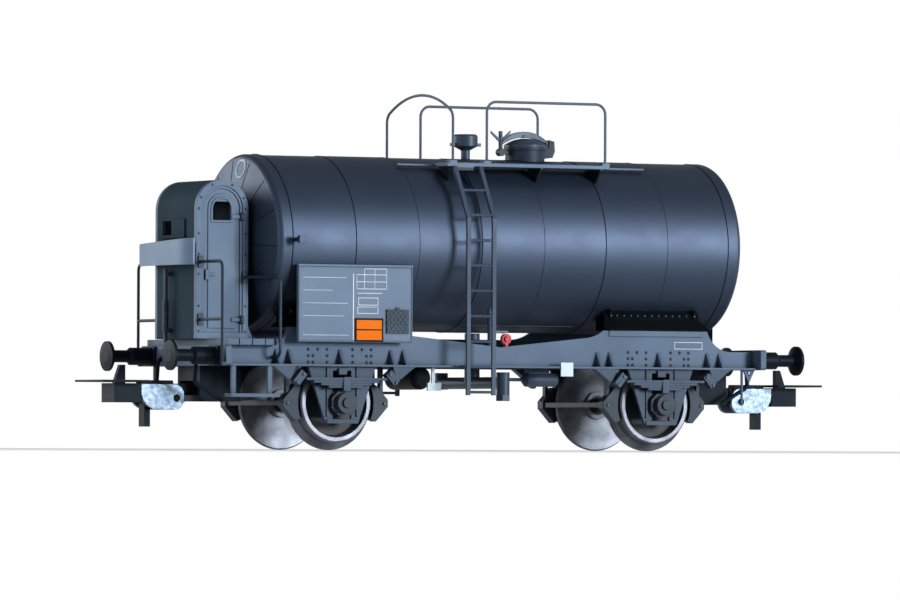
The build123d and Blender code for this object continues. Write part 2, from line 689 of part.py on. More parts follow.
# Cab sides: arched frame round the door, a riveting band proud of it and a flared foot by the tank
band_width = 0.85
band_proud = 0.15
door_inset = 1.25
door_bottom_rise = 0.8
foot_flare_height = 1.9
foot_flare_length = 0.95
door_bottom_z = cab_floor_z + door_bottom_rise
band_face_y = cab_half_depth + band_proud
with BuildPart() as cab_side_near:
    with BuildSketch(Plane.XZ.offset(shell_half)):
        add(arch(0, cab_floor_z).line)
        make_face()
        with BuildSketch(mode=Mode.SUBTRACT):
            add(arch(door_inset, door_bottom_z).line)
            make_face()
        with BuildLine():
            Polyline((cab_inner_x, cab_floor_z), (cab_inner_x + foot_flare_length, cab_floor_z),
                     (cab_inner_x, cab_floor_z + foot_flare_height), close=True)
        make_face()
    extrude(amount=cab_side_thickness)
    with BuildSketch(Plane.XZ.offset(cab_half_depth)):
        add(arch(0, cab_floor_z).line)
        make_face()
        with BuildSketch(mode=Mode.SUBTRACT):
            add(arch(band_width, cab_floor_z + band_width).line)
            make_face()
    extrude(amount=band_proud)
cab_side_near.part.label = "cab_side_near"
export_step(cab_side_near.part, "parts/cab_side_near.step")

with BuildPart() as cab_side_far:
    mirror(cab_side_near.part, about=Plane.XZ)
cab_side_far.part.label = "cab_side_far"
export_step(cab_side_far.part, "parts/cab_side_far.step")

# Cab doors: flat leaf, raised panel, arched window frame, two hinges and a handle
door_thickness = 0.35
door_panel_inset = 0.7
door_panel_proud = 0.12
door_window_width = 2.9
door_window_height = 2.6
door_window_drop = 4.4
window_rim = 0.3
window_rim_proud = 0.1
hinge_width = 1.2
hinge_height = 0.5
hinge_thickness = 0.3
hinge_inset = 1.35
hinge_rises = (2.7, 17.2)
handle_inset = 1.75
handle_rise = 9.0
handle_plate_width = 0.5
handle_plate_height = 1.4
handle_length = 1.1
handle_thickness = 0.3
door_face_y = shell_half + door_thickness
door_window_z = cab_roof_z - door_window_drop
rim_inset = (cab_width - door_window_width) / 2 - window_rim
with BuildPart() as cab_door_near:
    with BuildSketch(Plane.XZ.offset(shell_half)):
        add(arch(door_inset, door_bottom_z).line)
        make_face()
    extrude(amount=door_thickness)
    with BuildSketch(Plane.XZ.offset(door_face_y)):
        add(arch(door_inset + door_panel_inset, door_bottom_z + door_panel_inset).line)
        make_face()
    extrude(amount=door_panel_proud)
    with BuildSketch(Plane.XZ.offset(door_face_y + door_panel_proud)):
        add(arch(rim_inset, door_window_z - door_window_height / 2 - window_rim).line)
        make_face()
        with BuildSketch(mode=Mode.SUBTRACT):
            add(arch(rim_inset + window_rim, door_window_z - door_window_height / 2).line)
            make_face()
    extrude(amount=window_rim_proud)
    with BuildSketch(Plane.XZ.offset(shell_half)):
        with Locations((cab_mid_x, door_window_z)):
            Rectangle(door_window_width, door_window_height)
    extrude(amount=door_thickness + door_panel_proud, mode=Mode.SUBTRACT)
    for hinge_rise in hinge_rises:
        with BuildSketch(Plane.XZ.offset(door_face_y)):
            with Locations((cab_inner_x - hinge_inset - hinge_width / 2, cab_floor_z + hinge_rise)):
                Rectangle(hinge_width, hinge_height)
        extrude(amount=hinge_thickness)
    with BuildSketch(Plane.XZ.offset(door_face_y)):
        with Locations((cab_outer_x + handle_inset, cab_floor_z + handle_rise)):
            Rectangle(handle_plate_width, handle_plate_height)
        with Locations((cab_outer_x + handle_inset + handle_length / 2, cab_floor_z + handle_rise)):
            SlotOverall(handle_length + handle_plate_width, handle_thickness)
    extrude(amount=handle_thickness)
cab_door_near.part.label = "cab_door_near"
export_step(cab_door_near.part, "parts/cab_door_near.step")

with BuildPart() as cab_door_far:
    mirror(cab_door_near.part, about=Plane.XZ)
cab_door_far.part.label = "cab_door_far"
export_step(cab_door_far.part, "parts/cab_door_far.step")

# Guard panel across the end of the cab: a sheet with ends curved back, its top edge sloped, on brackets
apron_stand_off = 2.4
apron_thickness = 0.3
apron_half_width = 8.5
apron_flat_half = 5.3
apron_curve_back = 0.9
apron_bottom_z = 25.95
apron_top_far_z = 29.0
apron_top_near_z = 29.7
apron_bracket_y = 5.2
apron_bracket_width = 0.5
apron_bracket_height = 0.3
apron_bracket_rises = (0.65, 2.45)
apron_x = cab_outer_x - apron_stand_off
apron_back_x = apron_x + apron_thickness
apron_bracket_length = cab_outer_x - apron_back_x
with BuildPart() as cab_apron:
    with BuildSketch(Plane.XY.offset(apron_bottom_z)):
        with BuildLine():
            front = Line((apron_x, -apron_flat_half), (apron_x, apron_flat_half))
            front_far = TangentArc(
                front @ 1, (apron_x + apron_curve_back, apron_half_width), tangent=(0, 1))
            front_near = TangentArc(
                front @ 0, (apron_x + apron_curve_back, -apron_half_width), tangent=(0, -1))
            back = Line((apron_back_x, -apron_flat_half), (apron_back_x, apron_flat_half))
            back_far = TangentArc(
                back @ 1, (apron_back_x + apron_curve_back, apron_half_width), tangent=(0, 1))
            back_near = TangentArc(
                back @ 0, (apron_back_x + apron_curve_back, -apron_half_width), tangent=(0, -1))
            Line(front_far @ 1, back_far @ 1)
            Line(front_near @ 1, back_near @ 1)
        make_face()
    extrude(amount=apron_top_near_z - apron_bottom_z)
    with BuildSketch(Plane.YZ.offset(apron_x)):
        with BuildLine():
            Polyline((-apron_half_width, apron_top_near_z), (apron_half_width, apron_top_far_z),
                     (apron_half_width, apron_top_near_z), close=True)
        make_face()
    extrude(amount=apron_thickness + apron_curve_back, mode=Mode.SUBTRACT)
    for bracket_y in (-apron_bracket_y, apron_bracket_y):
        for bracket_rise in apron_bracket_rises:
            with Locations((apron_back_x + apron_bracket_length / 2, bracket_y, apron_bottom_z + bracket_rise)):
                Box(apron_bracket_length, apron_bracket_width, apron_bracket_height)
cab_apron.part.label = "cab_apron"
export_step(cab_apron.part, "parts/cab_apron.step")

# Cab handrails of bent bar: one from the outer corner to the headstock, one from the inner corner to the frame
cab_rail_radius = 0.22
cab_rail_out = 0.7
cab_rail_bend = 1.0
outer_rail_inset = 0.7
outer_rail_rise = 10.8
outer_arm_rise = 2.7
inner_rail_out = 1.65
inner_rail_start = 0.5
inner_rail_rise = 8.7
inner_rail_foot_rise = 1.3
rail_pad_width = 0.8
rail_pad_height = 1.7
rail_pad_thickness = 0.2
rail_foot_height = 0.5
outer_rail_x = cab_outer_x + outer_rail_inset
inner_rail_x = cab_inner_x + inner_rail_out
cab_rail_y = sill_flange_y + cab_rail_out
pad_face_y = band_face_y + rail_pad_thickness
outer_rail_foot_z = sill_bottom_z + rail_foot_height / 2
with BuildPart() as cab_handrails:
    add(bent_bar([
        (outer_rail_x, -pad_face_y, cab_floor_z + outer_rail_rise),
        (outer_rail_x, -cab_rail_y, cab_floor_z + outer_rail_rise),
        (outer_rail_x, -cab_rail_y, outer_rail_foot_z),
    ], cab_rail_radius, cab_rail_bend))
    with BuildSketch(Plane.XZ.offset(pad_face_y)):
        with Locations((outer_rail_x, cab_floor_z + outer_arm_rise)):
            RegularPolygon(cab_rail_radius, 8)
    extrude(amount=cab_rail_y - pad_face_y)
    with BuildSketch(Plane.XZ.offset(band_face_y)):
        for pad_rise in (outer_rail_rise, outer_arm_rise):
            with Locations((outer_rail_x, cab_floor_z + pad_rise)):
                Rectangle(rail_pad_width, rail_pad_height)
        with Locations((cab_inner_x - inner_rail_start, cab_floor_z + inner_rail_rise)):
            Rectangle(rail_pad_width, rail_pad_height)
    extrude(amount=rail_pad_thickness)
    with BuildSketch(Plane.YZ.offset(outer_rail_x)):
        with Locations((-cab_rail_y, outer_rail_foot_z)):
            Rectangle(2 * cab_rail_radius, rail_foot_height)
    extrude(amount=-headstock_face_x - outer_rail_x)
    add(bent_bar([
        (cab_inner_x - inner_rail_start, -pad_face_y, cab_floor_z + inner_rail_rise),
        (inner_rail_x, -cab_rail_y, cab_floor_z + inner_rail_rise),
        (inner_rail_x, -cab_rail_y, sill_bottom_z + inner_rail_foot_rise),
        (inner_rail_x, -sill_face_y, sill_bottom_z + inner_rail_foot_rise),
    ], cab_rail_radius, cab_rail_bend))
    mirror(about=Plane.XZ)
cab_handrails.part.label = "cab_handrails"
export_step(cab_handrails.part, "parts/cab_handrails.step")

# Handbrake spindle on the end wall of the cab, in two bearings, with a thicker screwed length
spindle_out = 0.9
spindle_y = 1.3
spindle_radius = 0.28
spindle_foot_rise = 0.4
spindle_length = 10.4
screw_radius = 0.4
screw_rise = 1.8
screw_length = 4.6
bearing_rises = (1.2, 9.2)
bearing_width = 0.8
bearing_height = 0.6
spindle_x = cab_outer_x - spindle_out
with BuildPart() as handbrake_spindle:
    with BuildSketch(Plane.XY.offset(platform_z + spindle_foot_rise)):
        with Locations((spindle_x, spindle_y)):
            Circle(spindle_radius)
    extrude(amount=spindle_length)
    with BuildSketch(Plane.XY.offset(platform_z + screw_rise)):
        with Locations((spindle_x, spindle_y)):
            Circle(screw_radius)
    extrude(amount=screw_length)
    for bearing_rise in bearing_rises:
        with Locations((spindle_x + spindle_out / 2, spindle_y, cab_floor_z + bearing_rise)):
            Box(spindle_out, bearing_width, bearing_height)
handbrake_spindle.part.label = "handbrake_spindle"
export_step(handbrake_spindle.part, "parts/handbrake_spindle.step")

# Platform boards at the cab end, under the cab, on two bearers along the frame channels
board_count = 4
board_gap = 0.15
board_width = 1.9
board_setback = 0.55
bearer_setback = 1.45
bearer_width = 0.6
boards_low_x = board_setback - headstock_face_x
bearer_low_x = bearer_setback - headstock_face_x
bearer_high_x = axle_places["cab_end"] - seat_beyond_axle - seat_rise_run
sill_end_z = sill_bottom_z + sill_end_height
with BuildPart() as platform_boards:
    with BuildSketch(Plane.XY.offset(platform_z)):
        for board in range(board_count):
            with Locations((boards_low_x + board_width / 2 + board * (board_width + board_gap), 0)):
                Rectangle(board_width, 2 * sill_flange_y)
    extrude(amount=cab_floor_z - platform_z)
    with BuildSketch(Plane.XY.offset(sill_end_z)):
        for bearer_y in (-sill_face_y, sill_face_y):
            with Locations(((bearer_low_x + bearer_high_x) / 2, bearer_y)):
                Rectangle(bearer_high_x - bearer_low_x, bearer_width)
    extrude(amount=platform_z - sill_end_z)
platform_boards.part.label = "platform_boards"
export_step(platform_boards.part, "parts/platform_boards.step")

# Footsteps at the cab end: a tread on two flat hangers under the frame channel
step_setback = 0.75
step_length = 7.7
step_width = 2.0
step_thickness = 0.5
step_drop = 3.9
hanger_width = 0.7
hanger_thickness = 0.35
hanger_inset = 1.0
step_low_x = step_setback - headstock_face_x
step_top_z = sill_bottom_z - step_drop
with BuildPart() as footsteps:
    with BuildSketch(Plane.XY.offset(step_top_z - step_thickness)):
        with Locations((step_low_x + step_length / 2, -sill_flange_y)):
            Rectangle(step_length, step_width)
    extrude(amount=step_thickness)
    with BuildSketch(Plane.XY.offset(step_top_z)):
        for hanger_x in (step_low_x + hanger_inset, step_low_x + step_length - hanger_inset):
            with Locations((hanger_x, -sill_flange_y + hanger_thickness)):
                Rectangle(hanger_width, hanger_thickness)
    extrude(amount=step_drop)
    mirror(about=Plane.XZ)
footsteps.part.label = "footsteps"
export_step(footsteps.part, "parts/footsteps.step")

# Sign boards with a lip along the top, on two brackets out from the web of the frame channel
sign_before_axle = 7.69
sign_length = 18.2
sign_rise = 3.12
sign_height = 10.95
sign_thickness = 0.45
sign_lip_height = 0.3
sign_lip_out = 0.2
sign_bracket_width = 0.8
sign_bracket_height = 0.9
sign_bracket_inset = 3.0
sign_bracket_rise = 0.75
sign_low_x = axle_places["cab_end"] - sign_before_axle
sign_low_z = flange_top_z + sign_rise
sign_back_y = sill_flange_y
sign_face_y = sign_back_y + sign_thickness
with BuildPart() as sign_board_near:
    with BuildSketch(Plane.XZ.offset(sign_back_y)):
        with Locations((sign_low_x + sign_length / 2, sign_low_z + sign_height / 2)):
            Rectangle(sign_length, sign_height)
    extrude(amount=sign_thickness)
    with BuildSketch(Plane.XZ.offset(sign_face_y)):
        with Locations((sign_low_x + sign_length / 2, sign_low_z + sign_height - sign_lip_height / 2)):
            Rectangle(sign_length, sign_lip_height)
    extrude(amount=sign_lip_out)
    with BuildSketch(Plane.XZ.offset(sill_face_y)):
        for bracket_x in (sign_low_x + sign_bracket_inset, sign_low_x + sign_length - sign_bracket_inset):
            with Locations((bracket_x, sign_low_z + sign_bracket_rise)):
                Rectangle(sign_bracket_width, sign_bracket_height)
    extrude(amount=sign_back_y - sill_face_y)
sign_board_near.part.label = "sign_board_near"
export_step(sign_board_near.part, "parts/sign_board_near.step")

with BuildPart() as sign_board_far:
    mirror(sign_board_near.part, about=Plane.XZ)
sign_board_far.part.label = "sign_board_far"
export_step(sign_board_far.part, "parts/sign_board_far.step")

# Blank hazard plates on the lower edge of the sign boards
hazard_along = 9.01
hazard_up = 0.12
hazard_width = 4.46
hazard_height = 3.27
plate_thickness = 0.15
hazard_x = sign_low_x + hazard_along + hazard_width / 2
hazard_z = sign_low_z + hazard_up + hazard_height / 2
with BuildPart() as hazard_plates:
    with BuildSketch(Plane.XZ.offset(sign_face_y)):
        with Locations((hazard_x, hazard_z)):
            Rectangle(hazard_width, hazard_height)
    extrude(amount=plate_thickness)
    mirror(about=Plane.XZ)
hazard_plates.part.label = "hazard_plates"
export_step(hazard_plates.part, "parts/hazard_plates.step")

# Card holders on the sign boards, each with the latch of its mesh door
holder_along = 13.99
holder_up = 1.31
holder_width = 3.55
holder_height = 3.36
latch_width = 0.5
latch_height = 0.6
latch_thickness = 0.2
holder_x = sign_low_x + holder_along + holder_width / 2
holder_low_z = sign_low_z + holder_up
with BuildPart() as card_holders:
    with BuildSketch(Plane.XZ.offset(sign_face_y)):
        with Locations((holder_x, holder_low_z + holder_height / 2)):
            Rectangle(holder_width, holder_height)
        with Locations((holder_x, holder_low_z + holder_height)):
            Rectangle(latch_width, latch_height)
    extrude(amount=latch_thickness)
    mirror(about=Plane.XZ)
card_holders.part.label = "card_holders"
export_step(card_holders.part, "parts/card_holders.step")

# Buffers: base plate, casing, ram and a domed head, two at each end
buffer_rise = 1.4
buffer_base_size = 3.0
buffer_base_thickness = 0.3
casing_radius = 1.25
casing_length = 3.45
casing_lip = 0.4
ram_radius = 0.875
head_radius = 2.13
head_back = 1.25
head_rim_back = 0.6
head_rim_front = 0.2
head_flat_radius = 0.9
buffer_z = sill_bottom_z + buffer_rise
for end, sign in end_signs.items():
    with BuildPart() as buffers:
        for side in (-1, 1):
            with Locations((sign * (headstock_face_x + buffer_base_thickness / 2), side * buffer_y, buffer_z)):
                Box(buffer_base_thickness, buffer_base_size, 2 * buffer_rise)
            with BuildSketch(Plane.XY.offset(buffer_z)):
                with BuildLine():
                    Polyline(*[(sign * (headstock_face_x + out), side * buffer_y + radius) for out, radius in (
                        (0, 0), (0, casing_radius), (casing_length, casing_radius),
                        (casing_length + casing_lip, ram_radius), (buffer_length - head_back, ram_radius),
                        (buffer_length - head_rim_back, head_radius),
                        (buffer_length - head_rim_front, head_radius),
                        (buffer_length, head_flat_radius), (buffer_length, 0),
                    )], close=True)
                make_face()
            revolve(axis=Axis((0, side * buffer_y, buffer_z), (1, 0, 0)))
    buffers.part.label = f"buffers_{end}"
    export_step(buffers.part, f"parts/buffers_{end}.step")

# Axle guards: plates under the frame channels with a window for the axlebox, two ribs, a stop and a tie bar
guard_out = 0.75
guard_thickness = 0.5
guard_top_half = 5.35
guard_low_half = 2.6
guard_drop = 2.9
guard_window_half = 1.45
guard_window_drop = 2.25
guard_window_cover = 0.6
guard_rib_x = 2.35
guard_rib_width = 0.3
guard_rib_proud = 0.2
guard_rib_drop = 1.9
stop_block_width = 1.3
stop_block_height = 0.9
stop_block_depth = 0.35
stop_block_cover = 0.25
tie_bar_length = 5.0
tie_bar_height = 0.6
guard_face_y = sill_face_y + guard_out
guard_low_z = axle_z - guard_drop
guard_window_low_z = axle_z - guard_window_drop
guard_window_high_z = sill_bottom_z - guard_window_cover
guard_rib_low_z = axle_z - guard_rib_drop
with BuildPart() as axle_guards:
    for axle_x in axle_places.values():
        with BuildSketch(Plane.XZ.offset(guard_face_y - guard_thickness)):
            with BuildLine():
                Polyline((axle_x - guard_top_half, sill_bottom_z), (axle_x + guard_top_half, sill_bottom_z),
                         (axle_x + guard_low_half, guard_low_z), (axle_x - guard_low_half, guard_low_z),
                         close=True)
            make_face()
            with Locations((axle_x, (guard_window_low_z + guard_window_high_z) / 2)):
                Rectangle(2 * guard_window_half, guard_window_high_z - guard_window_low_z, mode=Mode.SUBTRACT)
        extrude(amount=guard_thickness)
        with BuildSketch(Plane.XZ.offset(guard_face_y)):
            with Locations((axle_x, guard_low_z + tie_bar_height / 2)):
                SlotOverall(tie_bar_length, tie_bar_height)
            for rib_x in (axle_x - guard_rib_x, axle_x + guard_rib_x):
                with Locations((rib_x, (guard_rib_low_z + sill_bottom_z) / 2)):
                    Rectangle(guard_rib_width, sill_bottom_z - guard_rib_low_z)
        extrude(amount=guard_rib_proud)
        with BuildSketch(Plane.XZ.offset(guard_face_y - guard_thickness)):
            with Locations((axle_x, sill_bottom_z - stop_block_cover - stop_block_height / 2)):
                Rectangle(stop_block_width, stop_block_height)
        extrude(amount=guard_thickness + stop_block_depth)
    mirror(about=Plane.XZ)
axle_guards.part.label = "axle_guards"
export_step(axle_guards.part, "parts/axle_guards.step")

# Axleboxes: octagonal housings in the guard windows, with a round cover and a bore for the axle end
axlebox_width = 4.0
axlebox_height = 3.4
axlebox_corner = 1.0
axlebox_depth = 0.85
axlebox_neck_width = 2.7
cover_radius = 1.45
cover_depth = 0.8
boss_radius = 0.7
boss_depth = 0.3
journal_radius = 0.5
journal_clearance = 0.06
journal_reach = 1.5
journal_end_gap = 0.15
axlebox_inner_y = sill_face_y
axlebox_face_y = guard_face_y + axlebox_depth
journal_tip_y = axlebox_inner_y + journal_reach
with BuildPart() as axleboxes:
    for axle_x in axle_places.values():
        with BuildSketch(Plane.XZ.offset(axlebox_inner_y)):
            with Locations((axle_x, axle_z)):
                Rectangle(axlebox_neck_width, axlebox_neck_width)
        extrude(amount=guard_face_y - axlebox_inner_y)
        with BuildSketch(Plane.XZ.offset(guard_face_y)) as housing:
            with Locations((axle_x, axle_z)):
                Rectangle(axlebox_width, axlebox_height)
            chamfer(housing.vertices(), length=axlebox_corner)
        extrude(amount=axlebox_depth)
        with BuildSketch(Plane.XZ.offset(axlebox_face_y)):
            with Locations((axle_x, axle_z)):
                Circle(cover_radius)
        extrude(amount=cover_depth)
        with BuildSketch(Plane.XZ.offset(axlebox_face_y + cover_depth)):
            with Locations((axle_x, axle_z)):
                Circle(boss_radius)
        extrude(amount=boss_depth)
        with BuildSketch(Plane.XZ.offset(axlebox_inner_y)):
            with Locations((axle_x, axle_z)):
                Circle(journal_radius + journal_clearance)
        extrude(amount=journal_reach + journal_end_gap, mode=Mode.SUBTRACT)
    mirror(about=Plane.XZ)
axleboxes.part.label = "axleboxes"
export_step(axleboxes.part, "parts/axleboxes.step")

# Leaf springs: four leaves under each other, the top one longest, with a buckle that stands on the axlebox
spring_out = 0.9
spring_rise = 3.55
leaf_thickness = 0.36
leaf_table = ((6.4, 1.3), (5.2, 1.2), (4.0, 1.1), (2.8, 1.0))
buckle_width = 1.1
buckle_depth = 1.5
buckle_cover = 0.1
spring_mid_y = guard_face_y + spring_out
spring_top_z = axle_z + spring_rise
axlebox_top_z = axle_z + axlebox_height / 2
buckle_height = spring_top_z + buckle_cover - axlebox_top_z
with BuildPart() as leaf_springs:
    for axle_x in axle_places.values():
        for leaf, (half_length, leaf_depth) in enumerate(leaf_table):
            with Locations((axle_x, -spring_mid_y, spring_top_z - (leaf + 0.5) * leaf_thickness)):
                Box(2 * half_length, leaf_depth, leaf_thickness)
        with Locations((axle_x, -spring_mid_y, axlebox_top_z + buckle_height / 2)):
            Box(buckle_width, buckle_depth, buckle_height)
    mirror(about=Plane.XZ)
leaf_springs.part.label = "leaf_springs"
export_step(leaf_springs.part, "parts/leaf_springs.step")

# Spring shackles: slanted links and triangular hangers under the frame channel
shackle_offset = 7.35
shackle_lean = 40
shackle_width = 1.15
shackle_length = 2.0
shackle_depth = 1.3
shackle_hanger_top = (7.7, 11.3)
shackle_hanger_tip = (8.3, 8.9)
shackle_hanger_in = 1.35
shackle_hanger_depth = 1.25
shackle_tip_z = spring_top_z - 0.2
with BuildPart() as spring_shackles:
    for axle_x in axle_places.values():
        for side in (-1, 1):
            with BuildSketch(Plane.XZ.offset(spring_mid_y - shackle_depth / 2)):
                with Locations(Location((axle_x + side * shackle_offset, spring_top_z), side * shackle_lean)):
                    Rectangle(shackle_width, shackle_length)
            extrude(amount=shackle_depth)
            with BuildSketch(Plane.XZ.offset(spring_mid_y - shackle_hanger_in)):
                with BuildLine():
                    Polyline((axle_x + side * shackle_hanger_top[1], sill_bottom_z),
                             (axle_x + side * shackle_hanger_top[0], sill_bottom_z),
                             (axle_x + side * shackle_hanger_tip[0], shackle_tip_z),
                             (axle_x + side * shackle_hanger_tip[1], shackle_tip_z), close=True)
                make_face()
            extrude(amount=shackle_hanger_depth)
    mirror(about=Plane.XZ)
spring_shackles.part.label = "spring_shackles"
export_step(spring_shackles.part, "parts/spring_shackles.step")

# Brake gear: shoes on both sides of each wheel, their hangers and the cross beams between them
wheel_inner_y = 7.2
wheel_width = 2.8
shoe_inner_y = 8.3
shoe_outer_y = 9.9
shoe_half_angle = math.radians(22)
shoe_back = 1.4
shoe_back_half_height = 0.5
hanger_bar_width = 0.5
hanger_bar_depth = 0.8
hanger_low_rise = 1.35
brake_beam_size = 0.7
brake_beam_end_in = 0.2
shoe_mid_y = (shoe_inner_y + shoe_outer_y) / 2
brake_beam_offset = shoe_outer_radius + 0.8
shoe_tip_radius = shoe_outer_radius + shoe_back
for end, axle_x in axle_places.items():
    with BuildPart() as brake_gear:
        for side in (-1, 1):
            low_in, high_in, low_out, high_out = [
                (axle_x + side * radius * math.cos(angle), axle_z + radius * math.sin(angle))
                for radius in (shoe_inner_radius, shoe_outer_radius)
                for angle in (-shoe_half_angle, shoe_half_angle)]
            with BuildSketch(Plane.XZ.offset(shoe_inner_y)):
                with BuildLine():
                    ThreePointArc(low_in, (axle_x + side * shoe_inner_radius, axle_z), high_in)
                    Polyline(high_in, high_out,
                             (axle_x + side * shoe_tip_radius, axle_z + shoe_back_half_height),
                             (axle_x + side * shoe_tip_radius, axle_z - shoe_back_half_height),
                             low_out, low_in)
                make_face()
            extrude(amount=shoe_outer_y - shoe_inner_y)
            with BuildSketch(Plane.XY.offset(axle_z + hanger_low_rise)):
                with Locations((axle_x + side * hanger_offset, -shoe_mid_y)):
                    Rectangle(hanger_bar_width, hanger_bar_depth)
            extrude(amount=cross_bottom_z - axle_z - hanger_low_rise)
            with Locations((axle_x + side * brake_beam_offset, 0, axle_z)):
                Box(brake_beam_size, 2 * (shoe_outer_y - brake_beam_end_in), brake_beam_size)
        mirror(about=Plane.XZ)
    brake_gear.part.label = f"brake_gear_{end}"
    export_step(brake_gear.part, f"parts/brake_gear_{end}.step")

# Brake cylinder, with its coned cover and piston rod, on a bracket under a cross bar
cylinder_y = 5.6
cylinder_z = 10.2
cylinder_radius = 1.0
cylinder_back = 1.9
cylinder_front = 2.9
cylinder_cap = 0.3
cone_length = 0.7
piston_rod_radius = 0.25
piston_rod_length = 2.1
cylinder_bracket_length = 3.4
cylinder_bracket_width = 1.2
cylinder_bracket_cover = 0.45
cylinder_x = wheelbase_mid_x + cylinder_bar_offset
cylinder_bracket_low_z = cylinder_z + cylinder_radius - cylinder_bracket_cover
with BuildPart() as brake_cylinder:
    with BuildSketch(Plane.XY.offset(cylinder_z)):
        with BuildLine():
            Polyline(*[(cylinder_x + along, -cylinder_y + radius) for along, radius in (
                (-cylinder_back - cone_length - piston_rod_length, 0),
                (-cylinder_back - cone_length - piston_rod_length, piston_rod_radius),
                (-cylinder_back - cone_length, piston_rod_radius), (-cylinder_back, cylinder_radius),
                (cylinder_front, cylinder_radius),
                (cylinder_front + cylinder_cap, cylinder_radius - cylinder_cap),
                (cylinder_front + cylinder_cap, 0),
            )], close=True)
        make_face()
    revolve(axis=Axis((0, -cylinder_y, cylinder_z), (1, 0, 0)))
    with BuildSketch(Plane.XY.offset(cylinder_bracket_low_z)):
        with Locations((cylinder_x, -cylinder_y)):
            Rectangle(cylinder_bracket_length, cylinder_bracket_width)
    extrude(amount=cross_bottom_z - cylinder_bracket_low_z)
brake_cylinder.part.label = "brake_cylinder"
export_step(brake_cylinder.part, "parts/brake_cylinder.step")

# Air reservoir across the frame, with domed ends, hung under a cross bar
reservoir_radius = 1.65
reservoir_z = 10.3
reservoir_near_y = -6.9
reservoir_far_y = 0.9
reservoir_dome = 0.6
reservoir_bracket_width = 1.6
reservoir_bracket_depth = 0.8
reservoir_bracket_cover = 0.3
reservoir_x = wheelbase_mid_x + reservoir_bar_offset
reservoir_mid_y = (reservoir_near_y + reservoir_far_y) / 2
reservoir_bracket_low_z = reservoir_z + reservoir_radius - reservoir_bracket_cover
with BuildPart() as air_reservoir:
    with BuildSketch(Plane.XY.offset(reservoir_z)):
        with BuildLine():
            Polyline(*[(reservoir_x + radius, y) for radius, y in (
                (0, reservoir_near_y - reservoir_dome), (1.2, reservoir_near_y - reservoir_dome + 0.15),
                (reservoir_radius, reservoir_near_y), (reservoir_radius, reservoir_far_y),
                (1.2, reservoir_far_y + reservoir_dome - 0.15), (0, reservoir_far_y + reservoir_dome),
            )], close=True)
        make_face()
    revolve(axis=Axis((reservoir_x, 0, reservoir_z), (0, 1, 0)))
    with BuildSketch(Plane.XY.offset(reservoir_bracket_low_z)):
        with Locations((reservoir_x, reservoir_mid_y)):
            Rectangle(reservoir_bracket_width, reservoir_bracket_depth)
    extrude(amount=cross_bottom_z - reservoir_bracket_low_z)
air_reservoir.part.label = "air_reservoir"
export_step(air_reservoir.part, "parts/air_reservoir.step")

# Discharge valves: riser under the tank, a cross pipe, and at each side an upright body with a screwed cap
outlet_z = 9.7
riser_radius = 1.1
outlet_radius = 0.85
valve_body_y = 9.3
valve_body_radius = 0.95
valve_body_top_z = 11.2
valve_body_ends = ((-1, 8.0), (1, 8.8))
valve_nut_radius = 1.1
valve_nut_height = 0.9
pipe_offset = 1.6
pipe_radius = 0.35
pipe_top_z = 20.2
arm_rise = 2.0
arm_length = 2.9
arm_size = 0.35
sill_slope = (slope_top_height - slope_low_height) / (wheelbase / 2 - seat_before_axle - seat_step_run)
tank_mid_x = (tank_crease_low_x + tank_crease_high_x) / 2
pipe_x = wheelbase_mid_x - pipe_offset
pipe_foot_z = sill_bottom_z + slope_low_height + (pipe_offset + pipe_radius) * sill_slope
sill_mid_y = sill_face_y - web_thickness / 2
with BuildPart() as discharge_valve:
    with BuildSketch(Plane.XY.offset(outlet_z)):
        with Locations((tank_mid_x, 0)):
            Circle(riser_radius)
    extrude(amount=tank_bottom_z - lap_step - outlet_z)
    with BuildSketch(Plane.XZ.offset(-valve_body_y)):
        with Locations((tank_mid_x, outlet_z)):
            Circle(outlet_radius)
    extrude(amount=2 * valve_body_y)
    for side, body_low_z in valve_body_ends:
        with BuildSketch(Plane.XY.offset(body_low_z)):
            with Locations((tank_mid_x, side * valve_body_y)):
                Circle(valve_body_radius)
        extrude(amount=valve_body_top_z - body_low_z)
    with BuildSketch(Plane.XY.offset(valve_body_ends[0][1] - valve_nut_height)):
        with Locations((tank_mid_x, -valve_body_y)):
            RegularPolygon(valve_nut_radius, 6)
    extrude(amount=valve_nut_height)
    with BuildSketch(Plane.XY.offset(pipe_foot_z)):
        with Locations((pipe_x, -sill_mid_y)):
            Circle(pipe_radius)
    extrude(amount=pipe_top_z - pipe_foot_z)
    with Locations((pipe_x + arm_length / 2, -sill_mid_y, pipe_foot_z + arm_rise)):
        Box(arm_length, arm_size, arm_size)
discharge_valve.part.label = "discharge_valve"
export_step(discharge_valve.part, "parts/discharge_valve.step")

# Valve cap: a round knob on a short stem that stands on the near frame channel
cap_offset = 1.0
cap_radius = 0.75
cap_rise = 1.05
cap_depth = 0.6
cap_boss_radius = 0.4
cap_boss_depth = 0.25
cap_stem_width = 0.5
cap_x = wheelbase_mid_x + cap_offset
cap_foot_z = sill_bottom_z + slope_low_height + (cap_offset + cap_stem_width / 2) * sill_slope
cap_z = cap_foot_z + cap_rise
with BuildPart() as valve_cap:
    with BuildSketch(Plane.XZ.offset(sill_mid_y - cap_depth / 2)):
        with Locations((cap_x, cap_z)):
            Circle(cap_radius)
        with Locations((cap_x, (cap_foot_z + cap_z) / 2)):
            Rectangle(cap_stem_width, cap_z - cap_foot_z)
    extrude(amount=cap_depth)
    with BuildSketch(Plane.XZ.offset(sill_mid_y + cap_depth / 2)):
        with Locations((cap_x, cap_z)):
            Circle(cap_boss_radius)
    extrude(amount=cap_boss_depth)
valve_cap.part.label = "valve_cap"
export_step(valve_cap.part, "parts/valve_cap.step")

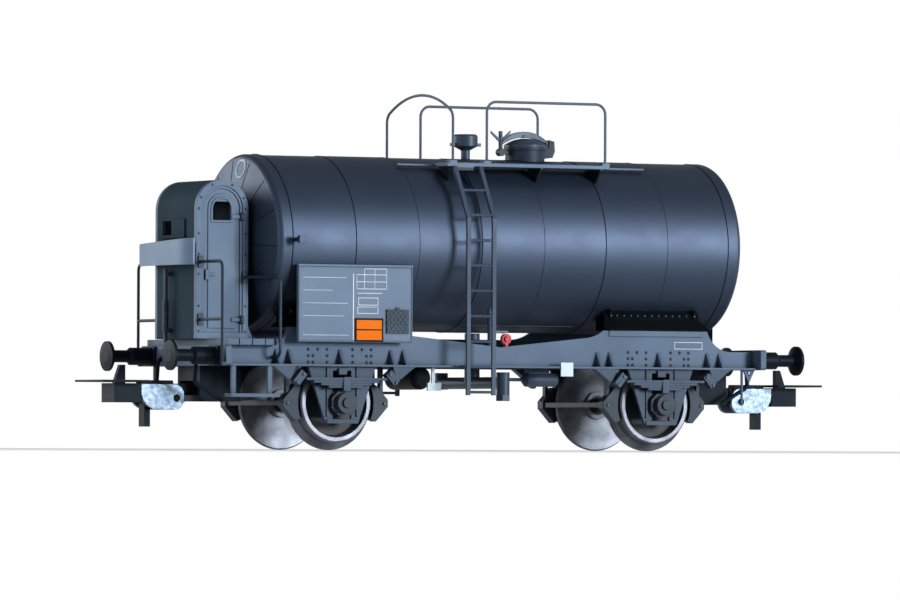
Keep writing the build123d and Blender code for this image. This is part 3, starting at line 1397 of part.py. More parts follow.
# Brake changeover plates: one on the edge of the near flange, one hung under a cross bar behind it
front_plate_offset = 9.9
front_plate_size = 2.0
back_plate_width = 2.2
back_plate_height = 1.1
back_plate_top_drop = 2.2
back_plate_y = 10.0
back_plate_thickness = 0.3
back_strap_width = 0.4
back_plate_x = reservoir_x + cross_bar_width / 2
back_plate_top_z = sill_bottom_z - back_plate_top_drop
with BuildPart() as changeover_plates:
    with BuildSketch(Plane.XZ.offset(sill_flange_y)):
        with Locations((wheelbase_mid_x + front_plate_offset, sill_bottom_z - 0.15)):
            Rectangle(front_plate_size, front_plate_size)
    extrude(amount=plate_thickness)
    with BuildSketch(Plane.XZ.offset(back_plate_y)):
        with Locations((back_plate_x, back_plate_top_z - back_plate_height / 2)):
            Rectangle(back_plate_width, back_plate_height)
        with Locations((back_plate_x - back_strap_width / 2, (back_plate_top_z + cross_bottom_z) / 2)):
            Rectangle(back_strap_width, cross_bottom_z - back_plate_top_z)
    extrude(amount=back_plate_thickness)
changeover_plates.part.label = "changeover_plates"
export_step(changeover_plates.part, "parts/changeover_plates.step")

# Towing loops at the plain end: a triangular loop and a plain rod under each flange
loop_setback = 2.1
loop_half_width = 0.95
loop_drop = 1.9
loop_frame = 0.3
loop_bar_thickness = 0.3
tow_y = 12.0
rod_setback = 3.25
rod_radius = 0.2
rod_drop = 5.15
tow_x = headstock_face_x - loop_setback
with BuildPart() as towing_loops:
    with BuildSketch(Plane.XZ.offset(tow_y - loop_bar_thickness / 2)):
        with BuildLine():
            Polyline((tow_x - loop_half_width, sill_bottom_z), (tow_x + loop_half_width, sill_bottom_z),
                     (tow_x, sill_bottom_z - loop_drop), close=True)
        make_face()
        with BuildLine():
            Polyline((tow_x - loop_half_width + 2 * loop_frame, sill_bottom_z - loop_frame),
                     (tow_x + loop_half_width - 2 * loop_frame, sill_bottom_z - loop_frame),
                     (tow_x, sill_bottom_z - loop_drop + 3 * loop_frame), close=True)
        make_face(mode=Mode.SUBTRACT)
    extrude(amount=loop_bar_thickness)
    with BuildSketch(Plane.XY.offset(sill_bottom_z - rod_drop)):
        with Locations((headstock_face_x - rod_setback, -tow_y)):
            RegularPolygon(rod_radius, 8)
    extrude(amount=rod_drop)
    mirror(about=Plane.XZ)
towing_loops.part.label = "towing_loops"
export_step(towing_loops.part, "parts/towing_loops.step")

# Brake hoses, moulded stiff: out of each headstock, down, and back under it
hose_radius = 0.32
hose_bend = 0.9
hose_y = 6.0
hose_start_rise = 1.1
hose_table = ((0, 0), (0.95, 0), (1.2, -3.5), (-3.2, -6.0))
with BuildPart() as brake_hoses:
    hose_start_z = sill_bottom_z + hose_start_rise
    add(bent_bar([(headstock_face_x + out, hose_y, hose_start_z + rise) for out, rise in hose_table],
                 hose_radius, hose_bend))
    mirror(about=Plane.XZ)
    mirror(about=Plane.YZ)
brake_hoses.part.label = "brake_hoses"
export_step(brake_hoses.part, "parts/brake_hoses.step")

# Coupler pockets: open boxes under the ends of the inner beams, each with the coupler's pivot pin
pivot_setback = 5.15
pocket_setback = 7.35
pocket_half_width = 3.5
pocket_wall = 0.6
pocket_low_z = 6.8
pocket_floor_z = 7.7
pocket_roof_z = 9.7
pivot_pin_radius = 0.8
pin_clearance = 0.05
pivot_x = headstock_face_x - pivot_setback
pocket_inner_x = headstock_face_x - pocket_setback
for end, sign in end_signs.items():
    with BuildPart() as coupler_pocket:
        with BuildSketch(Plane.YZ.offset(sign * pocket_inner_x)):
            with Locations((0, (pocket_low_z + cross_bottom_z) / 2)):
                Rectangle(2 * pocket_half_width, cross_bottom_z - pocket_low_z)
            with Locations((0, (pocket_floor_z + pocket_roof_z) / 2)):
                Rectangle(2 * (pocket_half_width - pocket_wall), pocket_roof_z - pocket_floor_z,
                          mode=Mode.SUBTRACT)
        extrude(amount=sign * (headstock_inner_x - pocket_inner_x))
        with BuildSketch(Plane.XY.offset(pocket_floor_z)):
            with Locations((sign * pivot_x, 0)):
                Circle(pivot_pin_radius)
        extrude(amount=pocket_roof_z - pocket_floor_z)
    coupler_pocket.part.label = f"coupler_pocket_{end}"
    export_step(coupler_pocket.part, f"parts/coupler_pocket_{end}.step")

# Couplers: shank with its pivot eye, hook block and horn; cheeks with the loop pin; and the lifting loop
shank_half_width = 1.3
shank_out = 1.1
shank_bottom_z = 8.1
shank_top_z = 9.3
shank_block_length = 0.3
shank_block_low_z = 6.8
eye_radius = 2.0
cheek_out = 0.85
cheek_length = 6.7
cheek_inner_y = 1.5
cheek_outer_y = 2.1
cheek_low_z = 5.6
cheek_high_z = 9.2
cheek_rear_fillet = 1.5
cheek_front_fillet = 2.6
loop_pin_out = 2.25
loop_pin_z = 7.2
loop_pin_radius = 0.45
head_length = 4.2
head_low_z = 6.6
head_high_z = 9.3
head_half_width = 2.1
horn_out = 9.25
horn_length = 1.7
horn_top_length = 0.8
horn_top_z = 11.9
horn_half_thickness = 0.4
loop_z = 9.45
loop_thickness = 0.3
loop_end_out = 14.75
loop_open_out = 7.85
loop_bar = 0.75
lever_half_width = 0.9
lever_tail_out = 2.05
trip_pin_out = 6.05
trip_pin_half_width = 0.45
trip_pin_low_z = 3.2
coupler_loop_half_width = 4.5
shank_end_x = headstock_face_x + shank_out
cheek_mid_x = headstock_face_x + cheek_out + cheek_length / 2
head_low_x = headstock_face_x + cheek_out + cheek_length
head_high_x = head_low_x + head_length
horn_x = headstock_face_x + horn_out
loop_pin_x = headstock_face_x + loop_pin_out
loop_end_x = headstock_face_x + loop_end_out
loop_open_x = headstock_face_x + loop_open_out
loop_hole_low_x = loop_open_x + loop_thickness
loop_plate_low_x = loop_open_x - 0.5
lever_tail_x = headstock_face_x + lever_tail_out
trip_pin_x = headstock_face_x + trip_pin_out
for end, sign in end_signs.items():
    with BuildPart() as coupler_head:
        with BuildSketch(Plane.XY.offset(shank_bottom_z)):
            with Locations((sign * pivot_x, 0)):
                Circle(eye_radius)
            with Locations((sign * (pivot_x + shank_end_x) / 2, 0)):
                Rectangle(shank_end_x - pivot_x, 2 * shank_half_width)
            with Locations((sign * pivot_x, 0)):
                Circle(pivot_pin_radius + pin_clearance, mode=Mode.SUBTRACT)
        extrude(amount=shank_top_z - shank_bottom_z)
        with BuildSketch(Plane.XY.offset(shank_block_low_z)):
            with Locations((sign * (shank_end_x - shank_block_length / 2), 0)):
                Rectangle(shank_block_length, 2 * cheek_inner_y)
        extrude(amount=cheek_high_z - shank_block_low_z)
        with BuildSketch(Plane.XY.offset(head_low_z)):
            with Locations((sign * (head_low_x + head_high_x) / 2, 0)):
                Rectangle(head_length, 2 * head_half_width)
        extrude(amount=head_high_z - head_low_z)
        with BuildSketch(Plane.XZ.offset(-horn_half_thickness)):
            with BuildLine():
                Polyline(*[(sign * x, z) for x, z in (
                    (horn_x, head_high_z), (horn_x + horn_length, head_high_z),
                    (horn_x + horn_top_length, horn_top_z), (horn_x, horn_top_z),
                )], close=True)
            make_face()
        extrude(amount=2 * horn_half_thickness)
    coupler_head.part.label = f"coupler_head_{end}"
    export_step(coupler_head.part, f"parts/coupler_head_{end}.step")

    with BuildPart() as coupler_cheeks:
        for side in (-1, 1):
            with BuildSketch(Plane.XZ.offset(-side * cheek_inner_y)) as cheek_face:
                with Locations((sign * cheek_mid_x, (cheek_low_z + cheek_high_z) / 2)):
                    Rectangle(cheek_length, cheek_high_z - cheek_low_z)
                corners = sorted(cheek_face.vertices(), key=lambda corner: sign * corner.X)
                fillet(corners[:2], radius=cheek_rear_fillet)
                corners = sorted(cheek_face.vertices(), key=lambda corner: sign * corner.X)
                fillet(min(corners[-2:], key=lambda corner: corner.Y), radius=cheek_front_fillet)
            extrude(amount=-side * (cheek_outer_y - cheek_inner_y))
        with BuildSketch(Plane.XZ.offset(-cheek_outer_y)):
            with Locations((sign * loop_pin_x, loop_pin_z)):
                Circle(loop_pin_radius)
        extrude(amount=2 * cheek_outer_y)
    coupler_cheeks.part.label = f"coupler_cheeks_{end}"
    export_step(coupler_cheeks.part, f"parts/coupler_cheeks_{end}.step")

    with BuildPart() as coupler_loop:
        with BuildSketch(Plane.XY.offset(loop_z)):
            with Locations((sign * (loop_plate_low_x + loop_end_x) / 2, 0)):
                Rectangle(loop_end_x - loop_plate_low_x, 2 * coupler_loop_half_width)
            with Locations((sign * (loop_hole_low_x + loop_end_x - loop_bar) / 2, 0)):
                Rectangle(loop_end_x - loop_bar - loop_hole_low_x, 2 * (coupler_loop_half_width - loop_bar),
                          mode=Mode.SUBTRACT)
            with Locations((sign * (lever_tail_x + loop_open_x) / 2, 0)):
                Rectangle(loop_open_x - lever_tail_x, 2 * lever_half_width)
        extrude(amount=loop_thickness)
        with BuildSketch(Plane.XZ.offset(-lever_half_width)):
            with BuildLine():
                Polyline(*[(sign * x, z) for x, z in (
                    (loop_pin_x - 0.7, loop_pin_z + 0.4), (lever_tail_x, loop_z + loop_thickness),
                    (loop_open_x - 0.6, loop_z + loop_thickness), (trip_pin_x + trip_pin_half_width, loop_z - 0.6),
                    (trip_pin_x + trip_pin_half_width, trip_pin_low_z),
                    (trip_pin_x - trip_pin_half_width, trip_pin_low_z), (trip_pin_x - trip_pin_half_width, 6.4),
                    (loop_pin_x + 0.2, loop_pin_z - 0.8), (loop_pin_x - 0.7, loop_pin_z - 0.4),
                )], close=True)
            make_face()
            with Locations((sign * loop_pin_x, loop_pin_z)):
                Circle(loop_pin_radius + pin_clearance, mode=Mode.SUBTRACT)
        extrude(amount=2 * lever_half_width)
    coupler_loop.part.label = f"coupler_loop_{end}"
    export_step(coupler_loop.part, f"parts/coupler_loop_{end}.step")

# Wheelsets: two wheels with flange, tread, rim, recessed disc and collar on an axle with journal ends
tread_width = 1.95
flange_tip = 0.35
flange_edge = 0.2
tread_edge = 0.25
tread_taper = 0.05
rim_depth = 1.1
rim_face_depth = 0.8
disc_thickness = 1.25
collar_radius = 2.0
collar_length = 0.5
hub_radius = 1.7
hub_recess = 0.3
axle_radius = 1.0
axle_collar = 0.1
journal_chamfer = 0.3
flange_radius = tread_radius + flange_height
rim_inner_radius = tread_radius - rim_depth
rim_face_radius = tread_radius - rim_face_depth
for end, axle_x in axle_places.items():
    with BuildPart() as wheels:
        with BuildSketch(Plane.YZ.offset(axle_x)):
            with BuildLine():
                Polyline(*[(-wheel_inner_y - out, axle_z + radius) for out, radius in (
                    (-collar_length, axle_radius), (-collar_length, collar_radius), (0, collar_radius),
                    (0, flange_radius - flange_edge), (flange_tip, flange_radius),
                    (wheel_width - tread_width, tread_radius),
                    (wheel_width - flange_edge, tread_radius - tread_taper),
                    (wheel_width, tread_radius - tread_edge), (wheel_width, rim_face_radius),
                    (disc_thickness, rim_inner_radius), (disc_thickness, hub_radius),
                    (wheel_width - hub_recess, hub_radius), (wheel_width - hub_recess, axle_radius),
                )], close=True)
            make_face()
        revolve(axis=Axis((axle_x, 0, axle_z), (0, 1, 0)))
        mirror(about=Plane.XZ)
    wheels.part.label = f"wheels_{end}"
    export_step(wheels.part, f"parts/wheels_{end}.step")

    axle_body_y = wheel_inner_y + wheel_width + axle_collar
    with BuildPart() as axle:
        with BuildSketch(Plane.YZ.offset(axle_x)):
            with BuildLine():
                Polyline(*[(y, axle_z + radius) for y, radius in (
                    (-journal_tip_y, 0), (-journal_tip_y, journal_radius - journal_chamfer),
                    (-journal_tip_y + journal_chamfer, journal_radius), (-axle_body_y, journal_radius),
                    (-axle_body_y, axle_radius), (axle_body_y, axle_radius), (axle_body_y, journal_radius),
                    (journal_tip_y - journal_chamfer, journal_radius),
                    (journal_tip_y, journal_radius - journal_chamfer), (journal_tip_y, 0),
                )], close=True)
            make_face()
        revolve(axis=Axis((axle_x, 0, axle_z), (0, 1, 0)))
    axle.part.label = f"axle_{end}"
    export_step(axle.part, f"parts/axle_{end}.step")
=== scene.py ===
# %% [markdown]
# This script dresses a model of a two-axle railway tank car. The shapes of the car come from the
# CAD frame, which is loaded first and is never moved. Everything after that adds what the eye
# looks for: paint, bright steel, rivets, bolts, seams and small fittings.

# %% Load the frame and keep its box
import math
import bpy
import bmesh
from mathutils import Matrix, Vector
from mathutils.bvhtree import BVHTree


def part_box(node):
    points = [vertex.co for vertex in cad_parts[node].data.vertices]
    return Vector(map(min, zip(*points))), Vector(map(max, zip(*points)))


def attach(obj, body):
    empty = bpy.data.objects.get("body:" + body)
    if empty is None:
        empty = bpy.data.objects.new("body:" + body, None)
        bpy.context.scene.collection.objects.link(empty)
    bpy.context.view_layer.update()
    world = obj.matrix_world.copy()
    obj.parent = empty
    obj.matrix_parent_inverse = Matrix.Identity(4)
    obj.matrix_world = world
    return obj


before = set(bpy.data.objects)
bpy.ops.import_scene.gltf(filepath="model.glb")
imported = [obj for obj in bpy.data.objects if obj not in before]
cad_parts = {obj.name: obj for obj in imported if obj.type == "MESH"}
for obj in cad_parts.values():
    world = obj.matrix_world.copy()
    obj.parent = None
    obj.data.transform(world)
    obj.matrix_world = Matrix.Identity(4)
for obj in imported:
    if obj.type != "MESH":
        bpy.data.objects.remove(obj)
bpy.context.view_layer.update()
MM = 0.001
FULL_TURN = 2 * math.pi

# %% [markdown]
# The photograph was taken with a long lens from a place almost level with the wheels' treads, so
# upright lines stay upright and the wheels are seen square on. A camera could be set by eye, but
# here its place comes from measured points of the car, so that each part lands where the
# photograph has it.

# %% Set the camera
camera_place = (-0.5676, -1.0539, 0.0005)
heading = math.radians(28.263)
pitch = math.radians(1.011)
roll = math.radians(0.23)
camera_data = bpy.data.cameras.new("camera")
camera_data.sensor_width = 36.0
camera_data.lens = 333.3
camera_data.clip_start = 0.05
camera_data.clip_end = 30.0
camera = bpy.data.objects.new("camera", camera_data)
bpy.context.scene.collection.objects.link(camera)
turn = Matrix.Rotation(-heading, 4, "Z") @ Matrix.Rotation(math.pi / 2 + pitch, 4, "X")
camera.matrix_world = Matrix.Translation(camera_place) @ turn @ Matrix.Rotation(roll, 4, "Z")
bpy.context.scene.camera = camera
bpy.context.scene.view_settings.view_transform = "Standard"
print("camera looks", round(math.degrees(heading), 2), "degrees right of straight across the car")

# %% [markdown]
# Nodes are the grammar of every finish below, so a few small helpers come first. One adds a node
# and fills its sockets. Another gives a band of noise that is read in the object's own coordinates,
# so that a pattern stays on the part wherever the part moves. Colours are written as they look on
# a screen, from 0 to 255, and linear() turns them into the values that light is worked out with.

# %% Helpers for shader nodes
def add_node(tree, kind, sockets=None, **settings):
    made = tree.nodes.new(kind)
    for key, value in settings.items():
        setattr(made, key, value)
    for key, value in (sockets or {}).items():
        if isinstance(value, bpy.types.NodeSocket):
            tree.links.new(value, made.inputs[key])
        else:
            made.inputs[key].default_value = value
    return made


def ramp(tree, value, low, high, at_low=0.0, at_high=1.0):
    step = add_node(tree, "ShaderNodeMapRange", {
        "Value": value, "From Min": low, "From Max": high, "To Min": at_low, "To Max": at_high})
    return step.outputs["Result"]


def noise_band(tree, place, scale, low, high, detail=3.0):
    cloud = add_node(tree, "ShaderNodeTexNoise", {"Vector": place, "Scale": scale, "Detail": detail})
    return ramp(tree, cloud.outputs["Fac"], 0.3, 0.7, low, high)


def calculate(tree, operation, first, second):
    return add_node(tree, "ShaderNodeMath", {0: first, 1: second}, operation=operation).outputs[0]


def blend_colour(tree, share, first, second):
    return add_node(tree, "ShaderNodeMix", {0: share, 6: first, 7: second}, data_type="RGBA").outputs[2]


def linear(*colour):
    values = []
    for part in colour:
        part = part / 255
        values.append(part / 12.92 if part <= 0.04045 else ((part + 0.055) / 1.055) ** 2.4)
    return (*values, 1.0)


def new_finish(name):
    finish = bpy.data.materials.new(name)
    finish.use_nodes = True
    finish.node_tree.nodes.clear()
    place = add_node(finish.node_tree, "ShaderNodeTexCoord").outputs["Object"]
    return finish, finish.node_tree, place


print("shader helpers ready")

# %% [markdown]
# A studio sweep is white because it is lit hard, but more light would also bleach the car. So the
# floor and the sky are ordinary pale surfaces for the light that reaches the car, and only rays
# from the camera, from gloss and through glass find them white. The floor keeps the shadow, more
# of it near the car. Overhead the sky is dimmer, as the ceiling of a studio is, which leaves the
# top of a round tank dark.

# %% Tell the rays that are meant to find white
def white_for_eye(tree):
    path = add_node(tree, "ShaderNodeLightPath")
    seen = calculate(tree, "MAXIMUM", path.outputs["Is Camera Ray"], path.outputs["Is Glossy Ray"])
    return calculate(tree, "MAXIMUM", seen, path.outputs["Is Transmission Ray"])


WHITE = (1.0, 1.0, 1.0, 1.0)
print("rays of camera, gloss and glass find white")

# %% [markdown]
# The floor is one large square. How far a point is from the car decides how white the eye finds
# it: near the car six tenths of the real, shaded surface show through, and further out none.

# %% Build the floor
HALF_FLOOR = 4.0
NEAR_CAR, FAR_FROM_CAR = 0.12, 0.50
WHITE_NEAR_CAR = 0.40
floor_mesh = bpy.data.meshes.new("floor")
floor_mesh.from_pydata([
    (-HALF_FLOOR, -HALF_FLOOR, 0), (HALF_FLOOR, -HALF_FLOOR, 0),
    (HALF_FLOOR, HALF_FLOOR, 0), (-HALF_FLOOR, HALF_FLOOR, 0)], [], [(0, 1, 2, 3)])
floor = bpy.data.objects.new("floor", floor_mesh)
bpy.context.scene.collection.objects.link(floor)
floor_finish, floor_tree, floor_place = new_finish("floor_white")
from_car = add_node(floor_tree, "ShaderNodeVectorMath", {0: floor_place}, operation="LENGTH")
whiteness = ramp(floor_tree, from_car.outputs["Value"], NEAR_CAR, FAR_FROM_CAR, WHITE_NEAR_CAR, 1.0)
white_share = calculate(floor_tree, "MULTIPLY", white_for_eye(floor_tree), whiteness)
matt = add_node(floor_tree, "ShaderNodeBsdfDiffuse", {"Color": (0.72, 0.72, 0.73, 1.0)})
glow = add_node(floor_tree, "ShaderNodeEmission", {"Color": WHITE, "Strength": 1.0})
floor_mix = add_node(floor_tree, "ShaderNodeMixShader", {
    0: white_share, 1: matt.outputs[0], 2: glow.outputs[0]})
add_node(floor_tree, "ShaderNodeOutputMaterial", {"Surface": floor_mix.outputs[0]})
floor_mesh.materials.append(floor_finish)
print("floor of", 2 * HALF_FLOOR, "metres ready")

# %% [markdown]
# The sky is a world shader. The height of the direction that a ray leaves in, from 0 at the
# horizon to 1 overhead, makes it dimmer towards the top.

# %% Build the sky
LOW_SKY, HIGH_SKY = 0.08, 0.42
WHITE_OVERHEAD = 0.08
world = bpy.data.worlds.new("studio")
bpy.context.scene.world = world
world.use_nodes = True
sky_tree = world.node_tree
sky_tree.nodes.clear()
sky_way = add_node(sky_tree, "ShaderNodeTexCoord").outputs["Generated"]
sky_height = add_node(sky_tree, "ShaderNodeSeparateXYZ", {"Vector": sky_way}).outputs["Z"]
sky_share = calculate(sky_tree, "MULTIPLY", white_for_eye(sky_tree),
                      ramp(sky_tree, sky_height, LOW_SKY, HIGH_SKY, 1.0, WHITE_OVERHEAD))
soft_sky = add_node(sky_tree, "ShaderNodeBackground", {"Color": (0.90, 0.95, 1.0, 1.0), "Strength": 0.22})
white_sky = add_node(sky_tree, "ShaderNodeBackground", {"Color": WHITE, "Strength": 1.0})
sky_mix = add_node(sky_tree, "ShaderNodeMixShader", {
    0: sky_share, 1: soft_sky.outputs[0], 2: white_sky.outputs[0]})
add_node(sky_tree, "ShaderNodeOutputWorld", {"Surface": sky_mix.outputs[0]})
print("sky ready")

# %% [markdown]
# In the photograph the near side is bright, a soft band runs along the middle of the tank, and the
# top, the underside and the end walls are dark. That asks for one broad lamp low in front, where
# the tank mirrors it to the camera. Two weak lamps, overhead and at the hut's end, lift those faces
# a little, and one behind only helps whoever walks round the car.

# %% Hang the lamps
def hang_lamp(name, place, aim, size, power):
    lamp_data = bpy.data.lights.new(name, "AREA")
    lamp_data.size = size
    lamp_data.energy = power
    lamp_data.color = (0.93, 0.97, 1.0)
    lamp = bpy.data.objects.new(name, lamp_data)
    bpy.context.scene.collection.objects.link(lamp)
    away = (Vector(place) - Vector(aim)).to_track_quat("Z", "Y").to_matrix().to_4x4()
    lamp.matrix_world = Matrix.Translation(place) @ away


hang_lamp("main_lamp", place=(0.38, -0.70, 0.15), aim=(0.0, 0.0, 0.028), size=0.22, power=6.6)
hang_lamp("top_lamp", place=(0.10, -0.20, 0.75), aim=(0.0, 0.0, 0.03), size=0.40, power=0.15)
hang_lamp("back_lamp", place=(-0.55, 0.70, 0.20), aim=(0.0, 0.0, 0.03), size=0.45, power=3.8)
hang_lamp("end_lamp", place=(-0.85, -0.10, 0.16), aim=(-0.04, 0.0, 0.03), size=0.40, power=1.2)
print("four lamps hung")

# %% [markdown]
# The real car is painted steel, and the model's parts are moulded or cast and then painted. Such a
# coat is never one flat colour. It is a little uneven, rubbed paler on the edges and dusty low
# down, and painted shade darkens the corners, which is what draws the outline of every panel.
# Bevel finds the edges, Ambient Occlusion finds the corners, and noise does the rest.

# %% Make a painted finish
DUST_COLOUR = linear(132, 122, 110)
RUBBED_COLOUR = linear(176, 190, 206)
# the colour of the painted shade in corners and creases
CORNER_SHADE_COLOUR = linear(14, 18, 24)
# near-black of the walkway brackets: their dark paint together with painted shade under the walkways
BRACKET_SHADE_COLOUR = linear(18, 23, 30)
DUST_TOP = 16.0 * MM
CORNER_REACH = 0.9 * MM
OPEN, CLOSED_IN = 0.85, 0.35          # how free a spot is, by Ambient Occlusion
FLAT, OVER_THE_EDGE = 0.99, 0.75      # how far Bevel leaves the face's own direction
BROAD, MIDDLING, PATCHY, FINE = 90.0, 160.0, 420.0, 5200.0
BUMP_DEPTH = 0.1 * MM


def painted(name, colour, shade, rough, corner_shade=0.85, dust=0.08, wear=0.16, grain=0.05, shine=0.25,
            edge=0.12, tint=(0.75, 0.90, 1.0), dark_below=0.0):
    finish, tree, place = new_finish(name)
    base = blend_colour(tree, noise_band(tree, place, BROAD, 0.0, 1.0), linear(*colour), linear(*shade))
    height = add_node(tree, "ShaderNodeSeparateXYZ", {"Vector": place}).outputs["Z"]
    # below the set height the paint turns near-black: the brackets' dark paint with painted shade under the
    # walkways
    if dark_below > 0:
        under = ramp(tree, height, dark_below * MM, (dark_below - 0.15) * MM)
        base = blend_colour(tree, under, base, BRACKET_SHADE_COLOUR)
    patches = noise_band(tree, place, PATCHY, 0.2, 1.0)
    dust_share = calculate(tree, "MULTIPLY", ramp(tree, height, 0.0, DUST_TOP, dust, 0.0), patches)
    dusty = blend_colour(tree, dust_share, base, DUST_COLOUR)
    flat = add_node(tree, "ShaderNodeNewGeometry").outputs["Normal"]
    rounded = flat
    if edge > 0:
        rounded = add_node(tree, "ShaderNodeBevel", {"Radius": edge * MM}, samples=4).outputs[0]
    square_on = add_node(tree, "ShaderNodeVectorMath", {0: rounded, 1: flat}, operation="DOT_PRODUCT")
    near_edge = ramp(tree, square_on.outputs["Value"], FLAT, OVER_THE_EDGE, 0.0, wear)
    worn = blend_colour(tree, calculate(tree, "MULTIPLY", near_edge, patches), dusty, RUBBED_COLOUR)
    # painted shade: the paint turns dark where Ambient Occlusion finds a corner or crease
    corner = add_node(tree, "ShaderNodeAmbientOcclusion", {"Distance": CORNER_REACH}, samples=4)
    in_corner = ramp(tree, corner.outputs["AO"], OPEN, CLOSED_IN, 0.0, corner_shade)
    corner_shaded = blend_colour(tree, in_corner, worn, CORNER_SHADE_COLOUR)
    fine = add_node(tree, "ShaderNodeTexNoise", {"Vector": place, "Scale": FINE, "Detail": 2.0})
    bump = add_node(tree, "ShaderNodeBump", {
        "Height": fine.outputs["Fac"], "Strength": grain, "Distance": BUMP_DEPTH, "Normal": rounded})
    coat = add_node(tree, "ShaderNodeBsdfPrincipled", {
        "Base Color": corner_shaded, "Roughness": noise_band(tree, place, MIDDLING, rough - 0.03, rough + 0.04),
        "Normal": bump.outputs[0], "Specular IOR Level": shine, "Specular Tint": (*tint, 1.0)})
    add_node(tree, "ShaderNodeOutputMaterial", {"Surface": coat.outputs[0]})
    return finish


print("painted finish ready to mix")

# %% [markdown]
# The car looks blue-black, but its parts are not one colour. The tank is the darkest and glossiest,
# the frame and the hut are a paler blue-grey, and the saddles and buffers are nearly black. Each
# paint is given as its colour, a second shade that it drifts to, and how rough it is. The brackets
# under the walkways are as dark as the tank and also carry painted shade from the walkways above
# them, so the walkways' paint turns dark below a set height in millimetres.

# %% Mix the paints of the tank, the frame and the hut
tank_paint = painted("tank_paint", (22, 31, 43), (18, 26, 37), 0.50, corner_shade=0.5, dust=0.0, wear=0.05,
                     grain=0.03, shine=1.0, tint=(0.50, 0.66, 1.0))
frame_paint = painted("frame_paint", (84, 101, 125), (74, 90, 112), 0.50)
guard_paint = painted("guard_paint", (54, 69, 90), (44, 58, 77), 0.48, wear=0.22)
board_paint = painted("board_paint", (98, 115, 138), (91, 108, 131), 0.46, dust=0.04, wear=0.10)
# below 40.4 mm this paint carries painted shade under the walkways
walkway_paint = painted("walkway_paint", (94, 111, 134), (86, 103, 126), 0.46, dust=0.0, wear=0.10,
                        dark_below=40.4)
cab_paint = painted("cab_paint", (92, 110, 134), (84, 101, 125), 0.46, dust=0.04)
# a paler copy of the hut's paint: painted light on the apron, which the main lamp lights
lit_apron_paint = painted("lit_apron_paint", (124, 146, 172), (114, 135, 160), 0.46, dust=0.0, wear=0.08)
# a darker copy of the hut's paint: painted shade on the hut's shell, which faces away from the main lamp
shaded_shell_paint = painted("shaded_shell_paint", (46, 64, 75), (40, 57, 67), 0.66, dust=0.04, shine=0.05)
ladder_paint = painted("ladder_paint", (66, 78, 97), (55, 66, 84), 0.50, dust=0.02, edge=0.05)
rail_paint = painted("rail_paint", (44, 54, 70), (36, 45, 60), 0.46, corner_shade=0.0, dust=0.0, wear=0.0,
                     edge=0.0)
top_rail_paint = painted("top_rail_paint", (96, 106, 120), (86, 96, 110), 0.46, corner_shade=0.0, dust=0.0,
                         wear=0.0, edge=0.0)
print("eleven paints mixed for the tank, the frame and the hut")

# %% [markdown]
# The fittings get their own tins. Lines, rings and seams are small, so they are left clean and
# even: painted shade in the corners or a worn edge would only break them up.

# %% Mix the paints of the fittings and the lines
brake_paint = painted("brake_paint", (38, 48, 63), (30, 39, 52), 0.48, wear=0.22)
black_moulding = painted("black_moulding", (14, 22, 33), (9, 15, 24), 0.50, dust=0.0, wear=0.10,
                         shine=0.10)
saddle_black = painted("saddle_black", (15, 20, 24), (10, 14, 18), 0.70, dust=0.0, wear=0.10, shine=0.0)
fitting_paint = painted("fitting_paint", (50, 64, 84), (41, 54, 72), 0.42, wear=0.14, shine=0.35)
cylinder_paint = painted("cylinder_paint", (70, 82, 102), (58, 69, 88), 0.46, wear=0.12)
bolt_paint = painted("bolt_paint", (84, 98, 118), (72, 85, 104), 0.42, corner_shade=0.6, wear=0.3, edge=0.05)
box_paint = painted("box_paint", (42, 50, 62), (33, 40, 51), 0.44, wear=0.18, shine=0.2)
valve_red = painted("valve_red", (196, 24, 44), (176, 16, 34), 0.36, corner_shade=0.4, dust=0.0, wear=0.05,
                    shine=0.2)
plate_white = painted("plate_white", (214, 228, 236), (198, 212, 222), 0.42, corner_shade=0.4, dust=0.0,
                      wear=0.0)
hazard_paint = painted("hazard_paint", (242, 120, 0), (236, 112, 0), 0.5, corner_shade=0.3, dust=0.0, wear=0.0,
                       shine=0.05)
line_white = painted("line_white", (240, 246, 250), (232, 238, 244), 0.5, corner_shade=0.0, dust=0.0, wear=0.0)
line_black = painted("line_black", (16, 17, 20), (11, 12, 15), 0.5, corner_shade=0.0, dust=0.0, wear=0.0,
                     shine=0.1)
seam_dark = painted("seam_dark", (20, 27, 37), (15, 21, 30), 0.5, corner_shade=0.0, dust=0.0, wear=0.0,
                    shine=0.1)
print("thirteen paints mixed for the fittings and the lines")

# %% [markdown]
# The wheels are the one place where bare steel shows. The tread and the rim are turned, which
# leaves fine rings about the axle, and so is the flat back. The disc inside the rim is dark on the
# outer face only. Distance from the axle and from the middle of the car, both worked out in the
# shader, tell the zones apart and draw the rings.

# %% Make turned steel
RIM_INSIDE = (4.75 * MM, 4.5 * MM)
OUTER_FACE = (7.9 * MM, 8.1 * MM)
AXLE_RADIUS = (1.5 * MM, 1.3 * MM)
RING_NOISE = 9000.0


